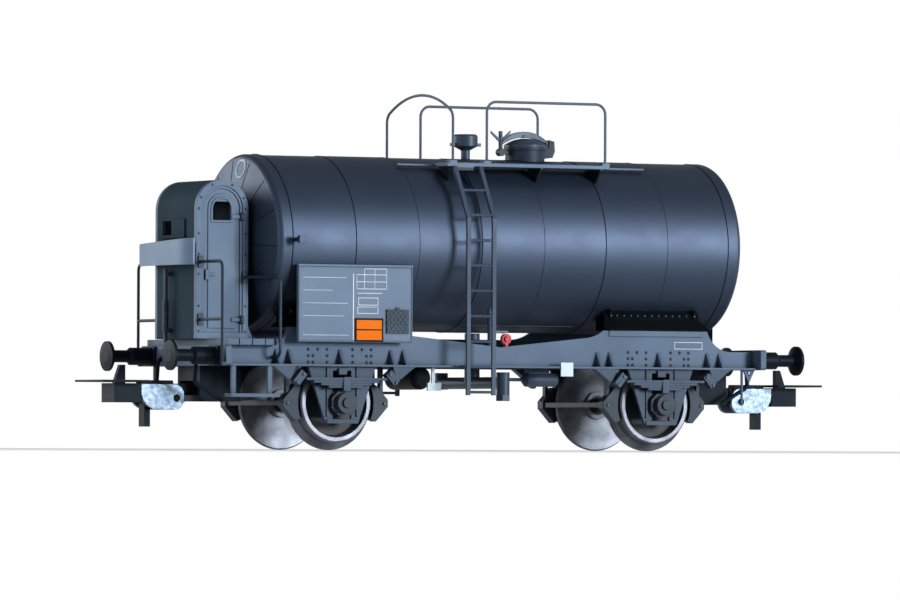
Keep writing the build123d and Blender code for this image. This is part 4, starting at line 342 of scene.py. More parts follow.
def turned_steel(name, axle_x, axle_z):
    finish, tree, place = new_finish(name)
    centred = add_node(tree, "ShaderNodeMapping", {
        "Vector": place, "Location": (-axle_x, 0.0, -axle_z), "Scale": (1.0, 0.0, 1.0)})
    radius = add_node(tree, "ShaderNodeVectorMath", {
        0: centred.outputs[0]}, operation="LENGTH").outputs["Value"]
    across = add_node(tree, "ShaderNodeSeparateXYZ", {"Vector": place}).outputs["Y"]
    out = add_node(tree, "ShaderNodeMath", {0: across}, operation="ABSOLUTE").outputs[0]
    rings = add_node(tree, "ShaderNodeTexNoise", {
        "W": radius, "Scale": RING_NOISE, "Detail": 2.0}, noise_dimensions="1D").outputs["Fac"]
    disc = calculate(tree, "MULTIPLY", ramp(tree, radius, *RIM_INSIDE), ramp(tree, out, *OUTER_FACE))
    dark_share = calculate(tree, "MAXIMUM", disc, ramp(tree, radius, *AXLE_RADIUS))
    grime = noise_band(tree, place, 300.0, 0.0, 1.0, detail=6.0)
    bright = blend_colour(tree, rings, linear(104, 110, 120), linear(138, 144, 154))
    stained = blend_colour(tree, calculate(tree, "MULTIPLY", grime, 0.8), bright, linear(44, 40, 44))
    dark = blend_colour(tree, grime, linear(20, 26, 34), linear(30, 36, 46))
    rounded = add_node(tree, "ShaderNodeBevel", {"Radius": 0.12 * MM}, samples=4)
    bump = add_node(tree, "ShaderNodeBump", {
        "Height": rings, "Strength": 0.10, "Distance": BUMP_DEPTH, "Normal": rounded.outputs[0]})
    steel = add_node(tree, "ShaderNodeBsdfPrincipled", {
        "Base Color": blend_colour(tree, dark_share, stained, dark),
        "Roughness": ramp(tree, dark_share, 0.0, 1.0, 0.42, 0.5),
        "Metallic": ramp(tree, dark_share, 0.0, 1.0, 0.75, 0.0),
        "Specular IOR Level": 0.3, "Normal": bump.outputs[0]})
    add_node(tree, "ShaderNodeOutputMaterial", {"Surface": steel.outputs[0]})
    return finish


wheel_steel = {}
for end in ("cab_end", "plain_end"):
    low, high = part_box(f"axle_{end}")
    wheel_steel[end] = turned_steel(f"wheel_steel_{end}", (low.x + high.x) / 2, (low.z + high.z) / 2)
print("steel for", len(wheel_steel), "wheelsets")

# %% [markdown]
# The cheeks of the couplers are plated. Old plating has small cloudy patches, pale and dull in
# turn. One noise therefore drives both the colour and the roughness, so that a dull patch is also
# a rough one, and a finer noise gives the surface its tooth.

# %% Make plated metal
def plated_metal(name, pale, dull):
    finish, tree, place = new_finish(name)
    cloud = noise_band(tree, place, 1500.0, 0.0, 1.0, detail=8.0)
    rounded = add_node(tree, "ShaderNodeBevel", {"Radius": 0.15 * MM}, samples=4)
    fine = add_node(tree, "ShaderNodeTexNoise", {"Vector": place, "Scale": 2600.0, "Detail": 4.0})
    bump = add_node(tree, "ShaderNodeBump", {
        "Height": fine.outputs["Fac"], "Strength": 0.18, "Distance": BUMP_DEPTH,
        "Normal": rounded.outputs[0]})
    metal = add_node(tree, "ShaderNodeBsdfPrincipled", {
        "Base Color": blend_colour(tree, cloud, linear(*pale), linear(*dull)),
        "Roughness": ramp(tree, cloud, 0.0, 1.0, 0.30, 0.48),
        "Metallic": 0.8, "Normal": bump.outputs[0]})
    add_node(tree, "ShaderNodeOutputMaterial", {"Surface": metal.outputs[0]})
    return finish


coupler_metal = plated_metal("coupler_metal", pale=(106, 121, 138), dull=(86, 100, 116))
print("plated metal ready")

# %% [markdown]
# Every part of the frame now gets its finish from one table. A table like this is easier to read
# and to correct than a line of code for each part, and a check at its end finds any part left out.

# %% Give each part its finish
finish_table = {
    tank_paint: ["tank_barrel"],
    shaded_shell_paint: ["cab_shell"],
    cab_paint: ["cab_side_near", "cab_side_far", "cab_door_near", "cab_door_far"],
    lit_apron_paint: ["cab_apron"],
    board_paint: ["sign_board_near", "sign_board_far"],
    box_paint: ["card_holders", "axleboxes"],
    frame_paint: [
        "solebar_near", "solebar_far", "headstock_cab_end", "headstock_plain_end",
        "platform_boards", "footsteps", "towing_loops"],
    walkway_paint: ["walkways"],
    ladder_paint: ["ladder_near", "ladder_far"],
    rail_paint: ["cab_handrails"],
    top_rail_paint: ["handrail_near", "handrail_far", "handrail_hoop"],
    guard_paint: ["axle_guards", "leaf_springs", "spring_shackles"],
    brake_paint: ["manhole_neck", "brake_gear_cab_end", "brake_gear_plain_end"],
    cylinder_paint: ["brake_cylinder"],
    fitting_paint: ["manhole_lid", "vent_valve", "handbrake_spindle", "discharge_valve"],
    saddle_black: ["tank_saddles", "tank_stop", "cross_bars", "inner_beams"],
    black_moulding: [
        "buffers_cab_end", "buffers_plain_end", "air_reservoir", "brake_hoses",
        "coupler_pocket_cab_end", "coupler_pocket_plain_end", "coupler_head_cab_end",
        "coupler_head_plain_end", "coupler_loop_cab_end", "coupler_loop_plain_end"],
    valve_red: ["valve_cap"],
    plate_white: ["changeover_plates"],
    hazard_paint: ["hazard_plates"],
    coupler_metal: ["coupler_cheeks_cab_end", "coupler_cheeks_plain_end"],
    wheel_steel["cab_end"]: ["wheels_cab_end", "axle_cab_end"],
    wheel_steel["plain_end"]: ["wheels_plain_end", "axle_plain_end"],
}
given = set()
for finish, parts in finish_table.items():
    for part in parts:
        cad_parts[part].data.materials.clear()
        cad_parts[part].data.materials.append(finish)
        given.add(part)
print("parts without a finish:", sorted(set(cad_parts) - given))

# %% [markdown]
# Small things need a place on the skin of a larger one. A rivet that is placed by numbers alone may
# float or drown when a plate is curved. So each place is found the way a blind person would find
# it: a feeler is sent from outside towards the part, and it stops where it touches. The feeler
# also tells which way the surface faces there. Places are written in millimetres.

# %% Helpers that feel for a surface
# a side has a name, the sign of its Y, and the way a feeler travels to reach it
SIDES = (("near", -1, (0, 1, 0)), ("far", 1, (0, -1, 0)))
BESIDE = 30.0     # a feeler starts this far from the middle to feel a side
BEYOND = 60.0     # and this far to feel an end of the tank, or the top
SUNK = 0.02       # a small piece starts this deep in the skin
skins = {}


def touch(part, start, way):
    if part not in skins:
        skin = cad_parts[part].data
        skins[part] = BVHTree.FromPolygons(
            [v.co for v in skin.vertices], [tuple(p.vertices) for p in skin.polygons])
    place, outward, _, _ = skins[part].ray_cast(Vector(start) * MM, Vector(way))
    return place, outward


def just_under(part, start, way, depth=SUNK):
    place, outward = touch(part, start, way)
    return place - outward * depth * MM


def face_of(part, x, z, sign, way):
    return abs(touch(part, (x, sign * BESIDE, z), way)[0].y) / MM


print("feelers ready")

# %% [markdown]
# Every new piece passes through one helper. It turns a mesh that is inside out, gives the mesh its
# finish, and says which body of the car carries the piece.

# %% A helper that finishes a piece
def new_piece(name, mesh, finish, body="wagon"):
    faces = bmesh.new()
    faces.from_mesh(mesh)
    if faces.calc_volume(signed=True) < 0:
        bmesh.ops.reverse_faces(faces, faces=faces.faces)
        faces.to_mesh(mesh)
    faces.free()
    if not mesh.materials:
        mesh.materials.append(finish)
    mesh.name = name
    piece = bpy.data.objects.new(name, mesh)
    bpy.context.scene.collection.objects.link(piece)
    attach(piece, body)
    print(name, "has", sum(len(p.vertices) - 2 for p in mesh.polygons), "triangles")


print("pieces can be finished")

# %% [markdown]
# Rivets and bolts come in rows, and a row is best described by its places alone. Geometry Nodes
# then sets one head on each place. A node group is made once, with its sizes as inputs, and a piece
# is grown from it: the group runs on a seed mesh, and the result is kept as a plain mesh.

# %% Start a node group and grow a piece from it
LENGTH, WHOLE, POINT = "NodeSocketFloat", "NodeSocketInt", "NodeSocketVector"


def start_group(name, sizes):
    group = bpy.data.node_groups.new(name, "GeometryNodeTree")
    group.is_modifier = True
    group.interface.new_socket("Geometry", in_out="INPUT", socket_type="NodeSocketGeometry")
    for label, kind in sizes.items():
        group.interface.new_socket(label, in_out="INPUT", socket_type=kind)
    group.interface.new_socket("Finish", in_out="INPUT", socket_type="NodeSocketMaterial")
    group.interface.new_socket("Geometry", in_out="OUTPUT", socket_type="NodeSocketGeometry")
    return group, group.nodes.new("NodeGroupInput").outputs


def end_group(group, geometry, sizes_in):
    real = add_node(group, "GeometryNodeRealizeInstances", {"Geometry": geometry})
    coated = add_node(group, "GeometryNodeSetMaterial", {
        "Geometry": real.outputs[0], "Material": sizes_in["Finish"]})
    add_node(group, "NodeGroupOutput", {"Geometry": coated.outputs[0]})


def sweep(group, curve, sizes_in, sides):
    # a round wire, "Wire radius" thick, along a curve
    profile = add_node(group, "GeometryNodeCurvePrimitiveCircle", {
        "Resolution": sides, "Radius": sizes_in["Wire radius"]}, mode="RADIUS")
    wire = add_node(group, "GeometryNodeCurveToMesh", {
        "Curve": curve, "Profile Curve": profile.outputs["Curve"], "Fill Caps": True})
    return wire.outputs["Mesh"]


def grow(name, group, seed, sizes, finish, body="wagon"):
    holder = bpy.data.objects.new(name + "_seed", seed)
    bpy.context.scene.collection.objects.link(holder)
    growth = holder.modifiers.new("growth", "NODES")
    growth.node_group = group
    labels = {item.name: item.identifier for item in group.interface.items_tree
              if item.item_type == "SOCKET" and item.in_out == "INPUT"}
    for label, value in {**sizes, "Finish": finish}.items():
        growth[labels[label]] = value
    bpy.context.view_layer.update()
    grown = holder.evaluated_get(bpy.context.evaluated_depsgraph_get())
    mesh = bpy.data.meshes.new_from_object(grown)
    bpy.data.objects.remove(holder)
    new_piece(name, mesh, finish, body)


print("node groups can be grown")

# %% [markdown]
# The first group makes heads. A head is a low cone with its tip cut off, which in this size reads
# as a rivet and costs few faces. Its sizes are inputs, so one group serves the large rivets of the
# sill and the tiny bolts of a cover. Each head stands upright on its own spot, because the way the
# surface faces there travels with the spot as an attribute named outward.

# %% Build the group for bolt and rivet heads
CROWN_SHARE = 0.55
bolt_group, sizes_in = start_group("bolt_field", {
    "Head radius": LENGTH, "Crown radius": LENGTH, "Height": LENGTH, "Sides": WHOLE})
facing = add_node(bolt_group, "GeometryNodeInputNamedAttribute", {
    "Name": "outward"}, data_type="FLOAT_VECTOR")
upright = add_node(bolt_group, "FunctionNodeAlignRotationToVector", {
    "Vector": facing.outputs["Attribute"]}, axis="Z")
head = add_node(bolt_group, "GeometryNodeMeshCone", {
    "Vertices": sizes_in["Sides"], "Radius Top": sizes_in["Crown radius"],
    "Radius Bottom": sizes_in["Head radius"], "Depth": sizes_in["Height"]})
heads = add_node(bolt_group, "GeometryNodeInstanceOnPoints", {
    "Points": sizes_in["Geometry"], "Instance": head.outputs["Mesh"],
    "Rotation": upright.outputs["Rotation"]})
end_group(bolt_group, heads.outputs["Instances"], sizes_in)


def bolt_row(name, part, starts, way, finish, radius, height, sides=8, body="wagon"):
    places, facings = [], []
    for start in starts:
        place, outward = touch(part, start, way)
        if place is not None:
            places.append(place - outward * SUNK * MM)
            facings.append(outward)
    seed = bpy.data.meshes.new(name + "_seed")
    seed.from_pydata(places, [], [])
    mark = seed.attributes.new("outward", "FLOAT_VECTOR", "POINT")
    mark.data.foreach_set("vector", [axis for outward in facings for axis in outward])
    print(name, "found", len(places), "of", len(starts), "places")
    grow(name, bolt_group, seed, {
        "Head radius": radius * MM, "Crown radius": radius * CROWN_SHARE * MM,
        "Height": (height + SUNK) * MM, "Sides": sides}, finish, body)


print("bolt field ready")

# %% [markdown]
# On the real car the sills are built up from plates and channels. Rows of rivets join the guards of
# each axle to them, and the model shows every head. The rows are the same at each axle, so they are
# written once, as distances from the axle.

# %% Rivet the sills
AXLES = (-24.56, 27.16)
rivet_plan = [(x, 14.2) for x in (-4.98, -3.49, -1.99, 2.07, 3.55, 5.03)]
rivet_plan += [(x, z) for z in (13.3, 12.4) for x in (-4.98, -4.24, -1.99, 2.07, 4.3, 5.03)]
for side, sign, way in SIDES:
    starts = [(axle + x, sign * BESIDE, z) for axle in AXLES for x, z in rivet_plan]
    # the rivets take the darker box paint: painted shade round each head
    bolt_row(f"sill_rivets_{side}", f"solebar_{side}", starts, way, box_paint,
             radius=0.24, height=0.17)

# %% [markdown]
# The hut at the end of the car shelters the brakesman. A riveted band follows its arched outline,
# and the bolts along it are the largest clue to its size. The far side carries the same bolts,
# because the two walls are alike.

# %% Bolt the band of the hut
ARCH_X, ARCH_Z, BAND_RADIUS = -40.9, 33.9, 3.68
band_bolts = [(ARCH_X + wall * BAND_RADIUS, z) for wall in (-1, 1)
              for z in (ARCH_Z, 30.4, 27.5, 24.7, 20.2, 16.6)]
for degrees in (-65, -25, 25, 65):
    angle = math.radians(degrees)
    band_bolts.append((ARCH_X + BAND_RADIUS * math.sin(angle), ARCH_Z + BAND_RADIUS * math.cos(angle)))
for side, sign, way in SIDES:
    starts = [(x, sign * BESIDE, z) for x, z in band_bolts]
    bolt_row(f"hut_bolts_{side}", f"cab_side_{side}", starts, way, fitting_paint,
             radius=0.19, height=0.13)

# %% [markdown]
# The tank rests on saddles, and a strip with a close row of bolts holds it down along each side.
# The axleboxes have covers with a bolt in each corner, so that the bearing can be looked at, and
# the shackles of the springs turn on two pins each. A shackle leans by 40 degrees, so its pins lie
# on a leaning line too.

# %% Bolt the saddles, the axleboxes and the shackles
SADDLE_ROW_START, SADDLE_PITCH, SADDLE_BOLTS, SADDLE_ROW_Z = -6.9, 1.15, 13, 19.5
BOX_Z, COVER_X, COVER_Z = 6.65, 1.05, 1.0
SHACKLE_X, SHACKLE_Z, PIN_REACH, LEAN_ACROSS, LEAN_UP = 7.35, 10.1, 0.75, 0.643, 0.766
for side, sign, way in SIDES:
    starts = [(axle + SADDLE_ROW_START + SADDLE_PITCH * k, sign * BESIDE, SADDLE_ROW_Z)
              for axle in AXLES for k in range(SADDLE_BOLTS)]
    bolt_row(f"saddle_bolts_{side}", "tank_saddles", starts, way, bolt_paint,
             radius=0.17, height=0.14, sides=6)
    starts = [(axle + x * COVER_X, sign * BESIDE, BOX_Z + z * COVER_Z)
              for axle in AXLES for z in (-1, 1) for x in (-1, 1)]
    bolt_row(f"box_bolts_{side}", "axleboxes", starts, way, bolt_paint,
             radius=0.24, height=0.2, sides=6)
    starts = [(axle + end * (SHACKLE_X + up * PIN_REACH * LEAN_ACROSS), sign * BESIDE,
               SHACKLE_Z - up * PIN_REACH * LEAN_UP)
              for axle in AXLES for end in (-1, 1) for up in (-1, 1)]
    bolt_row(f"shackle_pins_{side}", "spring_shackles", starts, way, bolt_paint,
             radius=0.3, height=0.22)

# %% [markdown]
# A few bolts stand alone: the pins of the brake shoes, the screws of the rail brackets on the hut,
# and the bolts of the strap that clamps the manhole lid. Each is asked for on both sides of the
# car, and where the feeler meets nothing no bolt is made.

# %% Set the single bolts
shoe_pins = [(x, z) for x in (-7.7, 7.7) for z in (6.6, 5.2)]
bracket_screws = [(x, z + d) for x, z in ((-44.65, 26.3), (-44.65, 18.4), (-37.6, 24.2))
                  for d in (-0.45, 0.45)]
lid_bolts = [(10.77, 45.36), (14.4, 44.4), (6.95, 43.0)]
for side, sign, way in SIDES:
    for end, axle in zip(("cab_end", "plain_end"), AXLES):
        starts = [(axle + x, sign * BESIDE, z) for x, z in shoe_pins]
        bolt_row(f"shoe_pins_{end}_{side}", f"brake_gear_{end}", starts, way, bolt_paint,
                 radius=0.3, height=0.24, sides=6)
    starts = [(x, sign * BESIDE, z) for x, z in bracket_screws]
    bolt_row(f"bracket_screws_{side}", "cab_handrails", starts, way, bolt_paint,
             radius=0.16, height=0.12, sides=6)
    starts = [(x, sign * BESIDE, z) for x, z in lid_bolts]
    bolt_row(f"lid_bolts_{side}", "manhole_lid", starts, way, bolt_paint,
             radius=0.28, height=0.2, sides=6)

# %% [markdown]
# Each cheek of a coupler shows a round hole near the rear. A thin black disc there paints the
# shade in that hole. It belongs to the coupler's own body, so it swings with it.

# %% Paint the shade in the holes of the coupler cheeks
HOLE_SHADE_Z = 7.25
for end, hole_x in (("cab_end", -45.75), ("plain_end", 46.2)):
    for side, sign, way in SIDES:
        starts = [(hole_x, sign * BESIDE, HOLE_SHADE_Z)]
        # a thin black disc: painted shade in the hole of the cheek
        bolt_row(f"cheek_pin_{end}_{side}", f"coupler_cheeks_{end}", starts, way, line_black,
                 radius=0.62, height=0.05, sides=16, body=f"coupler_{end}")

# %% [markdown]
# A tank like this is rolled from sheets that lap over each other, and each lap leaves a ring that
# dirt settles in. The dished ends are pressed from petals, so their seams run inwards. All of these
# are lines on a curved skin. The feeler finds the skin along each line, and a second node group
# turns the lines into thin beads, more than half of each bead sunk in the plate.

# %% Build the group for beads and wires
wire_group, sizes_in = start_group("wire_lines", {"Wire radius": LENGTH, "Sides": WHOLE})
lines = add_node(wire_group, "GeometryNodeMeshToCurve", {"Mesh": sizes_in["Geometry"]})
end_group(wire_group, sweep(wire_group, lines.outputs["Curve"], sizes_in, sizes_in["Sides"]), sizes_in)


def wires(name, runs, finish, radius, sides=4):
    points, edges = [], []
    for run, closed in runs:
        first = len(points)
        points += run
        edges += [(first + k, first + k + 1) for k in range(len(run) - 1)]
        if closed:
            edges.append((first + len(run) - 1, first))
    seed = bpy.data.meshes.new(name + "_seed")
    seed.from_pydata(points, edges, [])
    grow(name, wire_group, seed, {"Wire radius": radius * MM, "Sides": sides}, finish)


print("wire lines ready")

# %% [markdown]
# The ring seams lie where one sheet laps over the next. The skin steps there, so the feeler goes
# down on both sides of the step, and the seam takes the smaller radius of the two.

# %% Draw the ring seams of the tank
TANK_Z = 29.4
RING_SEAMS, FIRST_SEAM, SEAM_PITCH, RING_STEPS = 8, -32.78, 10.1057, 64
ring_runs = []
for k in range(RING_SEAMS):
    x = FIRST_SEAM + SEAM_PITCH * k
    reach = [abs(touch("tank_barrel", (x + d, -BESIDE, TANK_Z), (0, 1, 0))[0].y) for d in (-0.1, 0.1)]
    radius = min(reach) + SUNK * MM
    angles = [FULL_TURN * step / RING_STEPS for step in range(RING_STEPS)]
    ring_runs.append(([Vector((x * MM, radius * math.sin(angle), TANK_Z * MM + radius * math.cos(angle)))
                       for angle in angles], True))
wires("tank_ring_seams", ring_runs, seam_dark, radius=0.085)

# %% [markdown]
# On each dished end the petals meet a small round plate in the middle. So the seams are straight
# when seen from the end, but the feeler bends them over the dish. A short level seam also shows low
# on the near side of the barrel.

# %% Draw the petal seams and the low seam
PETALS, FIRST_PETAL = 14, 9.0
PETAL_RADII = (11.7, 10.6, 9.2, 7.6, 5.8, 4.0)
MIDDLE_RADIUS, MIDDLE_STEPS = 3.9, 40
LOW_START, LOW_STEP, LOW_Z, LOW_POINTS = -9.0, 1.5, 17.9, 18
ENDS = ((-BEYOND, (1, 0, 0)), (BEYOND, (-1, 0, 0)))


def end_circle(from_x, way, y, z, radius, steps, depth=SUNK):
    angles = [FULL_TURN * step / steps for step in range(steps)]
    return [just_under("tank_barrel", (from_x, y + radius * math.sin(angle), z + radius * math.cos(angle)),
                       way, depth) for angle in angles]


petal_runs = []
for from_x, way in ENDS:
    for k in range(PETALS):
        angle = math.radians(FIRST_PETAL + 360.0 / PETALS * k)
        petal_runs.append(([
            just_under("tank_barrel", (from_x, r * math.sin(angle), TANK_Z + r * math.cos(angle)), way)
            for r in PETAL_RADII], False))
    petal_runs.append((end_circle(from_x, way, 0.0, TANK_Z, MIDDLE_RADIUS, MIDDLE_STEPS), True))
wires("tank_end_seams", petal_runs, seam_dark, radius=0.08)
low_run = [just_under("tank_barrel", (LOW_START + LOW_STEP * k, -BESIDE, LOW_Z), (0, 1, 0))
           for k in range(LOW_POINTS)]
# the low seam is paler than the tank: a painted highlight along it
wires("tank_low_seam", [(low_run, False)], fitting_paint, radius=0.09)

# %% [markdown]
# The tank's end carries a plain white ring, painted on. Paint has almost no thickness, so the ring
# is a thin bead sunk in the dish by more than half, and it follows the dish because each of its
# points was felt for.

# %% Lay the white ring on the tank's end
RING_Y, RING_Z, RING_RADIUS, RING_DEPTH = -1.1, 39.74, 1.24, 0.05
ring = end_circle(-BEYOND, (1, 0, 0), RING_Y, RING_Z, RING_RADIUS, 36, RING_DEPTH)
wires("white_ring", [(ring, True)], line_white, radius=0.21, sides=6)

# %% [markdown]
# Lines, borders and rims are all the same small thing: a straight bar with sloped sides, or four of
# them mitred into a frame. A mitred frame made as one closed ring needs only four corners of the
# section, carried round the outline. The foot of each goes a little way into the plate under it.

# %% Build bars and frames
FOOT = -0.03
SLOPE_SHARE = 0.3


def frame_ring(x0, x1, z0, z1, width, face_y, proud, sign):
    # the section has four corners: outer foot, outer crown, inner crown, inner foot
    slope = min(proud, width * SLOPE_SHARE)
    section = ((0.0, FOOT), (slope, proud), (width - slope, proud), (width, FOOT))
    corners = ((x0, z0, 1, 1), (x1, z0, -1, 1), (x1, z1, -1, -1), (x0, z1, 1, -1))
    points, faces = [], []
    for x, z, to_x, to_z in corners:
        for inward, out in section:
            points.append(Vector((x + to_x * inward, sign * (face_y + out), z + to_z * inward)) * MM)
    for here in range(4):
        after = (here + 1) % 4
        for low in range(4):
            high = (low + 1) % 4
            faces.append((here * 4 + low, here * 4 + high, after * 4 + high, after * 4 + low))
    return points, faces


def bar(x0, x1, z0, z1, face_y, proud, sign):
    slope = min(proud, (x1 - x0) * SLOPE_SHARE, (z1 - z0) * SLOPE_SHARE)
    points = []
    for out, inward in ((FOOT, 0.0), (proud, slope)):
        for x, z in ((x0 + inward, z0 + inward), (x1 - inward, z0 + inward),
                     (x1 - inward, z1 - inward), (x0 + inward, z1 - inward)):
            points.append(Vector((x, sign * (face_y + out), z)) * MM)
    return points, [(3, 2, 1, 0), (4, 5, 6, 7), (0, 1, 5, 4), (1, 2, 6, 5), (2, 3, 7, 6), (3, 0, 4, 7)]


def join_shapes(name, shapes, finish):
    points, faces = [], []
    for some_points, some_faces in shapes:
        first = len(points)
        points += some_points
        faces += [tuple(first + i for i in face) for face in some_faces]
    mesh = bpy.data.meshes.new(name)
    mesh.from_pydata(points, [], faces)
    joined = bmesh.new()
    joined.from_mesh(mesh)
    bmesh.ops.recalc_face_normals(joined, faces=joined.faces)
    joined.to_mesh(mesh)
    joined.free()
    new_piece(name, mesh, finish)


print("bars and frames ready")

# %% [markdown]
# The large board on each side has a raised rim and ruled lines: one upright line, a small table,
# two boxes and some level lines. Each line is a bar as thin as paint. Upright lines stand a hair
# prouder than level ones, so that no two faces share a place where they cross.

# %% Rule the boards
PAINT, UPRIGHT_PAINT = 0.02, 0.025
HALF_TABLE_LINE, HALF_LEVEL_LINE, BOX_LINE = 0.06, 0.05, 0.12
RIM_WIDTH, RIM_PROUD, LEVEL_LINES_FROM = 0.28, 0.10, -31.5
board_outline = (-32.25, -14.05, 15.2, 26.15)
upright_line = (-23.58, -23.40, 15.5, 24.9)
short_line = (-22.86, -18.85, 22.08, 22.2)
table_rows = ((-21.74, -18.2, 25.60), (-22.95, -18.2, 24.76), (-22.95, -18.2, 23.76), (-22.95, -18.2, 22.76))
table_columns = (
    (-22.95, 22.76, 24.76), (-21.74, 22.76, 25.60), (-20.09, 22.76, 25.60), (-18.2, 22.76, 25.60))
boxes = ((-22.72, -19.51, 20.42, 21.54), (-22.85, -19.51, 19.24, 20.26))
level_lines = ((24.3, -24.6), (22.5, -26.8), (20.7, -24.4), (18.9, -25.0), (16.2, -24.2))
for side, sign, way in SIDES:
    board_y = face_of(f"sign_board_{side}", -28.0, 22.0, sign, way)
    join_shapes(f"board_rim_{side}", [frame_ring(*board_outline, RIM_WIDTH, board_y, RIM_PROUD, sign)],
                board_paint)
    ruled = [bar(*upright_line, board_y, UPRIGHT_PAINT, sign)]
    for x0, x1, z in table_rows:
        ruled.append(bar(x0, x1, z - HALF_TABLE_LINE, z + HALF_TABLE_LINE, board_y, PAINT, sign))
    for x, z0, z1 in table_columns:
        ruled.append(bar(x - HALF_TABLE_LINE, x + HALF_TABLE_LINE, z0, z1, board_y, UPRIGHT_PAINT, sign))
    ruled.append(bar(*short_line, board_y, PAINT, sign))
    for outline in boxes:
        ruled.append(frame_ring(*outline, BOX_LINE, board_y, PAINT, sign))
    for z, x1 in level_lines:
        outline = (LEVEL_LINES_FROM, x1, z - HALF_LEVEL_LINE, z + HALF_LEVEL_LINE)
        ruled.append(bar(*outline, board_y, PAINT, sign))
    join_shapes(f"board_lines_{side}", ruled, line_white)

# %% [markdown]
# The orange plate on each board has a black border all round and one black bar across the middle.
# The border reaches a hair past the plate's edge, so that no orange shows there.

# %% Border the orange plates
PLATE_X, PLATE_Z, HALF_WIDE, HALF_HIGH = -21.01, 16.955, 2.23, 1.635
OVER, INSIDE, BORDER_WIDTH, BORDER_PROUD = 0.02, 0.1, 0.27, 0.04
BAR_BOTTOM, BAR_TOP, BAR_PROUD = 16.88, 17.10, 0.035
for side, sign, way in SIDES:
    plate_y = face_of("hazard_plates", -21.0, 17.9, sign, way)
    x0, x1 = PLATE_X - HALF_WIDE, PLATE_X + HALF_WIDE
    z0, z1 = PLATE_Z - HALF_HIGH, PLATE_Z + HALF_HIGH
    join_shapes(f"orange_plate_border_{side}", [
        frame_ring(x0 - OVER, x1 + OVER, z0 - OVER, z1 + OVER, BORDER_WIDTH, plate_y, BORDER_PROUD, sign),
        bar(x0 + INSIDE, x1 - INSIDE, BAR_BOTTOM, BAR_TOP, plate_y, BAR_PROUD, sign)],
        line_black)

# %% [markdown]
# The holder for the label card is closed with a lattice of wire. Its wires run in two directions,
# and each is one slanted line, cut off where it leaves the opening of the holder.

# %% Weave the lattice of the card holders
LEFT, RIGHT, BOTTOM, TOP = -18.10, -14.87, 16.70, 19.68
WIRE_PITCH, WIRE_SLANT, WIRE_LIFT, SHORTEST = 0.75, 0.85, 0.03, 0.08
for side, sign, way in SIDES:
    face = touch("card_holders", (-16.9, sign * BESIDE, 18.0), way)[0].y
    runs = []
    for lean in (1, -1):
        for k in range(-6, 12):
            from_x = LEFT + (k + 0.5) * WIRE_PITCH
            to_x = from_x + lean * (TOP - BOTTOM) * WIRE_SLANT
            crossings = [(edge - from_x) / (to_x - from_x) for edge in (LEFT, RIGHT)]
            first, last = max(0.0, min(crossings)), min(1.0, max(crossings))
            if last - first > SHORTEST:
                runs.append(([Vector((
                    (from_x + (to_x - from_x) * share) * MM, face + sign * WIRE_LIFT * MM,
                    (BOTTOM + (TOP - BOTTOM) * share) * MM)) for share in (first, last)], False))
    wires(f"card_holder_lattice_{side}", runs, bolt_paint, radius=0.075, sides=5)

# %% [markdown]
# On the sill near the plain end is one more outlined box. It is a frame like those on the boards.

# %% Outline the box on the sill
sill_outline = (29.83, 34.51, 14.71, 15.77)
for side, sign, way in SIDES:
    sill_y = face_of(f"solebar_{side}", 32.0, 15.2, sign, way)
    join_shapes(f"sill_box_{side}", [frame_ring(*sill_outline, 0.11, sill_y, PAINT, sign)],
                line_white)

# %% [markdown]
# The hand brake is wound up with a screw. The lower part of its spindle is threaded, and a thread
# is nothing but a wire wound round a rod. The third node group winds it from four sizes: the radius
# of the thread and of the wire, the height and the number of turns.

# %% Cut the thread of the brake spindle
thread_group, sizes_in = start_group("screw_thread", {
    "Thread radius": LENGTH, "Wire radius": LENGTH, "Length": LENGTH, "Turns": LENGTH, "Place": POINT})
helix = add_node(thread_group, "GeometryNodeCurveSpiral", {
    "Resolution": 14, "Rotations": sizes_in["Turns"], "Start Radius": sizes_in["Thread radius"],
    "End Radius": sizes_in["Thread radius"], "Height": sizes_in["Length"]})
placed = add_node(thread_group, "GeometryNodeTransform", {
    "Geometry": sweep(thread_group, helix.outputs["Curve"], sizes_in, 5), "Translation": sizes_in["Place"]})
end_group(thread_group, placed.outputs["Geometry"], sizes_in)
no_seed = bpy.data.meshes.new("no_seed")
grow("spindle_thread", thread_group, no_seed, {
    "Thread radius": 0.40 * MM, "Wire radius": 0.11 * MM, "Length": 4.4 * MM, "Turns": 10.0,
    "Place": (-45.9 * MM, 1.3 * MM, 16.6 * MM)}, fitting_paint)

# %% [markdown]
# The doors of the hut hang on barrel hinges. A barrel is turned, so it is drawn as half of its
# outline and spun round a pin, with its ends rounded.

# %% Turn the barrels of the door hinges
def spun(outline, place, sides=12):
    points, faces = [], []
    for turned in range(sides):
        angle = FULL_TURN * turned / sides
        for radius, z in outline:
            points.append(Vector((place[0] + radius * math.cos(angle), place[1] + radius * math.sin(angle),
                                  place[2] + z)) * MM)
    rows = len(outline)
    for turned in range(sides):
        here, after = turned * rows, ((turned + 1) % sides) * rows
        for row in range(rows - 1):
            faces.append((here + row, after + row, after + row + 1, here + row + 1))
    faces.append(tuple(turned * rows for turned in range(sides))[::-1])
    faces.append(tuple(turned * rows + rows - 1 for turned in range(sides)))
    return points, faces


HINGE_X, HINGE_OUT = -37.75, 0.12
barrel = ((0.10, -0.62), (0.26, -0.52), (0.32, -0.42), (0.32, 0.42), (0.26, 0.52), (0.10, 0.62))
for side, sign, way in SIDES:
    shapes = []
    for rise in (18.3, 32.8):
        wall = touch(f"cab_side_{side}", (HINGE_X, sign * BESIDE, rise), way)[0].y / MM
        shapes.append(spun(barrel, (HINGE_X, wall + sign * HINGE_OUT, rise)))
    join_shapes(f"door_barrels_{side}", shapes, fitting_paint)

# %% [markdown]
# Nobody should slip on top of a tank, so the walkways are made of bars with gaps. The last node
# group lays one bar after another at an even pitch. A bar is a short line across the walkway with
# a flat section swept along it.

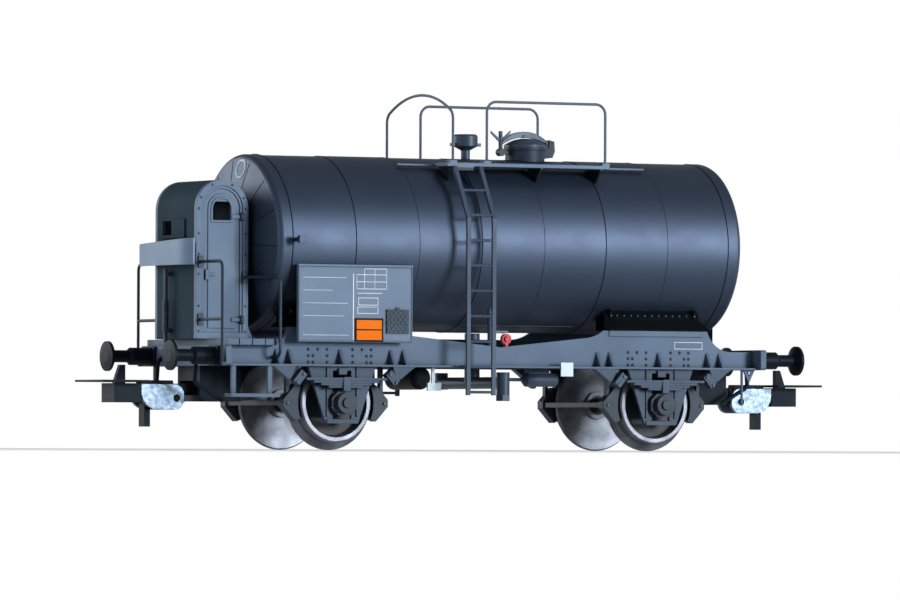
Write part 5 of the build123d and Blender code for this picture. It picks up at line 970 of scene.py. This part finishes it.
# %% Build the group for a row of bars
slat_group, sizes_in = start_group("slat_row", {
    "Count": WHOLE, "Pitch": LENGTH, "Slat length": LENGTH, "Slat width": LENGTH, "Slat height": LENGTH,
    "Place": POINT})
half = calculate(slat_group, "MULTIPLY", sizes_in["Slat length"], 0.5)
minus = calculate(slat_group, "MULTIPLY", half, -1.0)
spine = add_node(slat_group, "GeometryNodeCurvePrimitiveLine", {
    "Start": add_node(slat_group, "ShaderNodeCombineXYZ", {"Y": minus}).outputs[0],
    "End": add_node(slat_group, "ShaderNodeCombineXYZ", {"Y": half}).outputs[0]})
section = add_node(slat_group, "GeometryNodeCurvePrimitiveQuadrilateral", {
    "Bottom Width": sizes_in["Slat width"], "Top Width": sizes_in["Slat height"],
    "Height": sizes_in["Slat height"], "Offset": 0.0}, mode="TRAPEZOID")
slat = add_node(slat_group, "GeometryNodeCurveToMesh", {
    "Curve": spine.outputs["Curve"], "Profile Curve": section.outputs["Curve"], "Fill Caps": True})
along = add_node(slat_group, "ShaderNodeCombineXYZ", {"X": sizes_in["Pitch"]}).outputs[0]
row = add_node(slat_group, "GeometryNodeMeshLine", {
    "Count": sizes_in["Count"], "Start Location": sizes_in["Place"], "Offset": along})
laid = add_node(slat_group, "GeometryNodeInstanceOnPoints", {
    "Points": row.outputs["Mesh"], "Instance": slat.outputs["Mesh"]})
end_group(slat_group, laid.outputs["Instances"], sizes_in)
print("bars can be laid")

# %% [markdown]
# Each walkway is felt from above, so that its bars lie on it. The bars run across, and forty-six
# of them fill the length.

# %% Lay the bars of the walkways
WALKWAY_START, WALKWAY_Y, BAR_LIFT = -6.6, 8.3, 0.03
for side, sign, way in SIDES:
    top = touch("walkways", (6.0, sign * WALKWAY_Y, BEYOND), (0, 0, -1))[0].z
    grow(f"walkway_bars_{side}", slat_group, no_seed, {
        "Count": 46, "Pitch": 0.56 * MM, "Slat length": 3.7 * MM, "Slat width": 0.24 * MM,
        "Slat height": 0.10 * MM, "Place": (WALKWAY_START * MM, sign * WALKWAY_Y * MM, top + BAR_LIFT * MM)},
        board_paint)
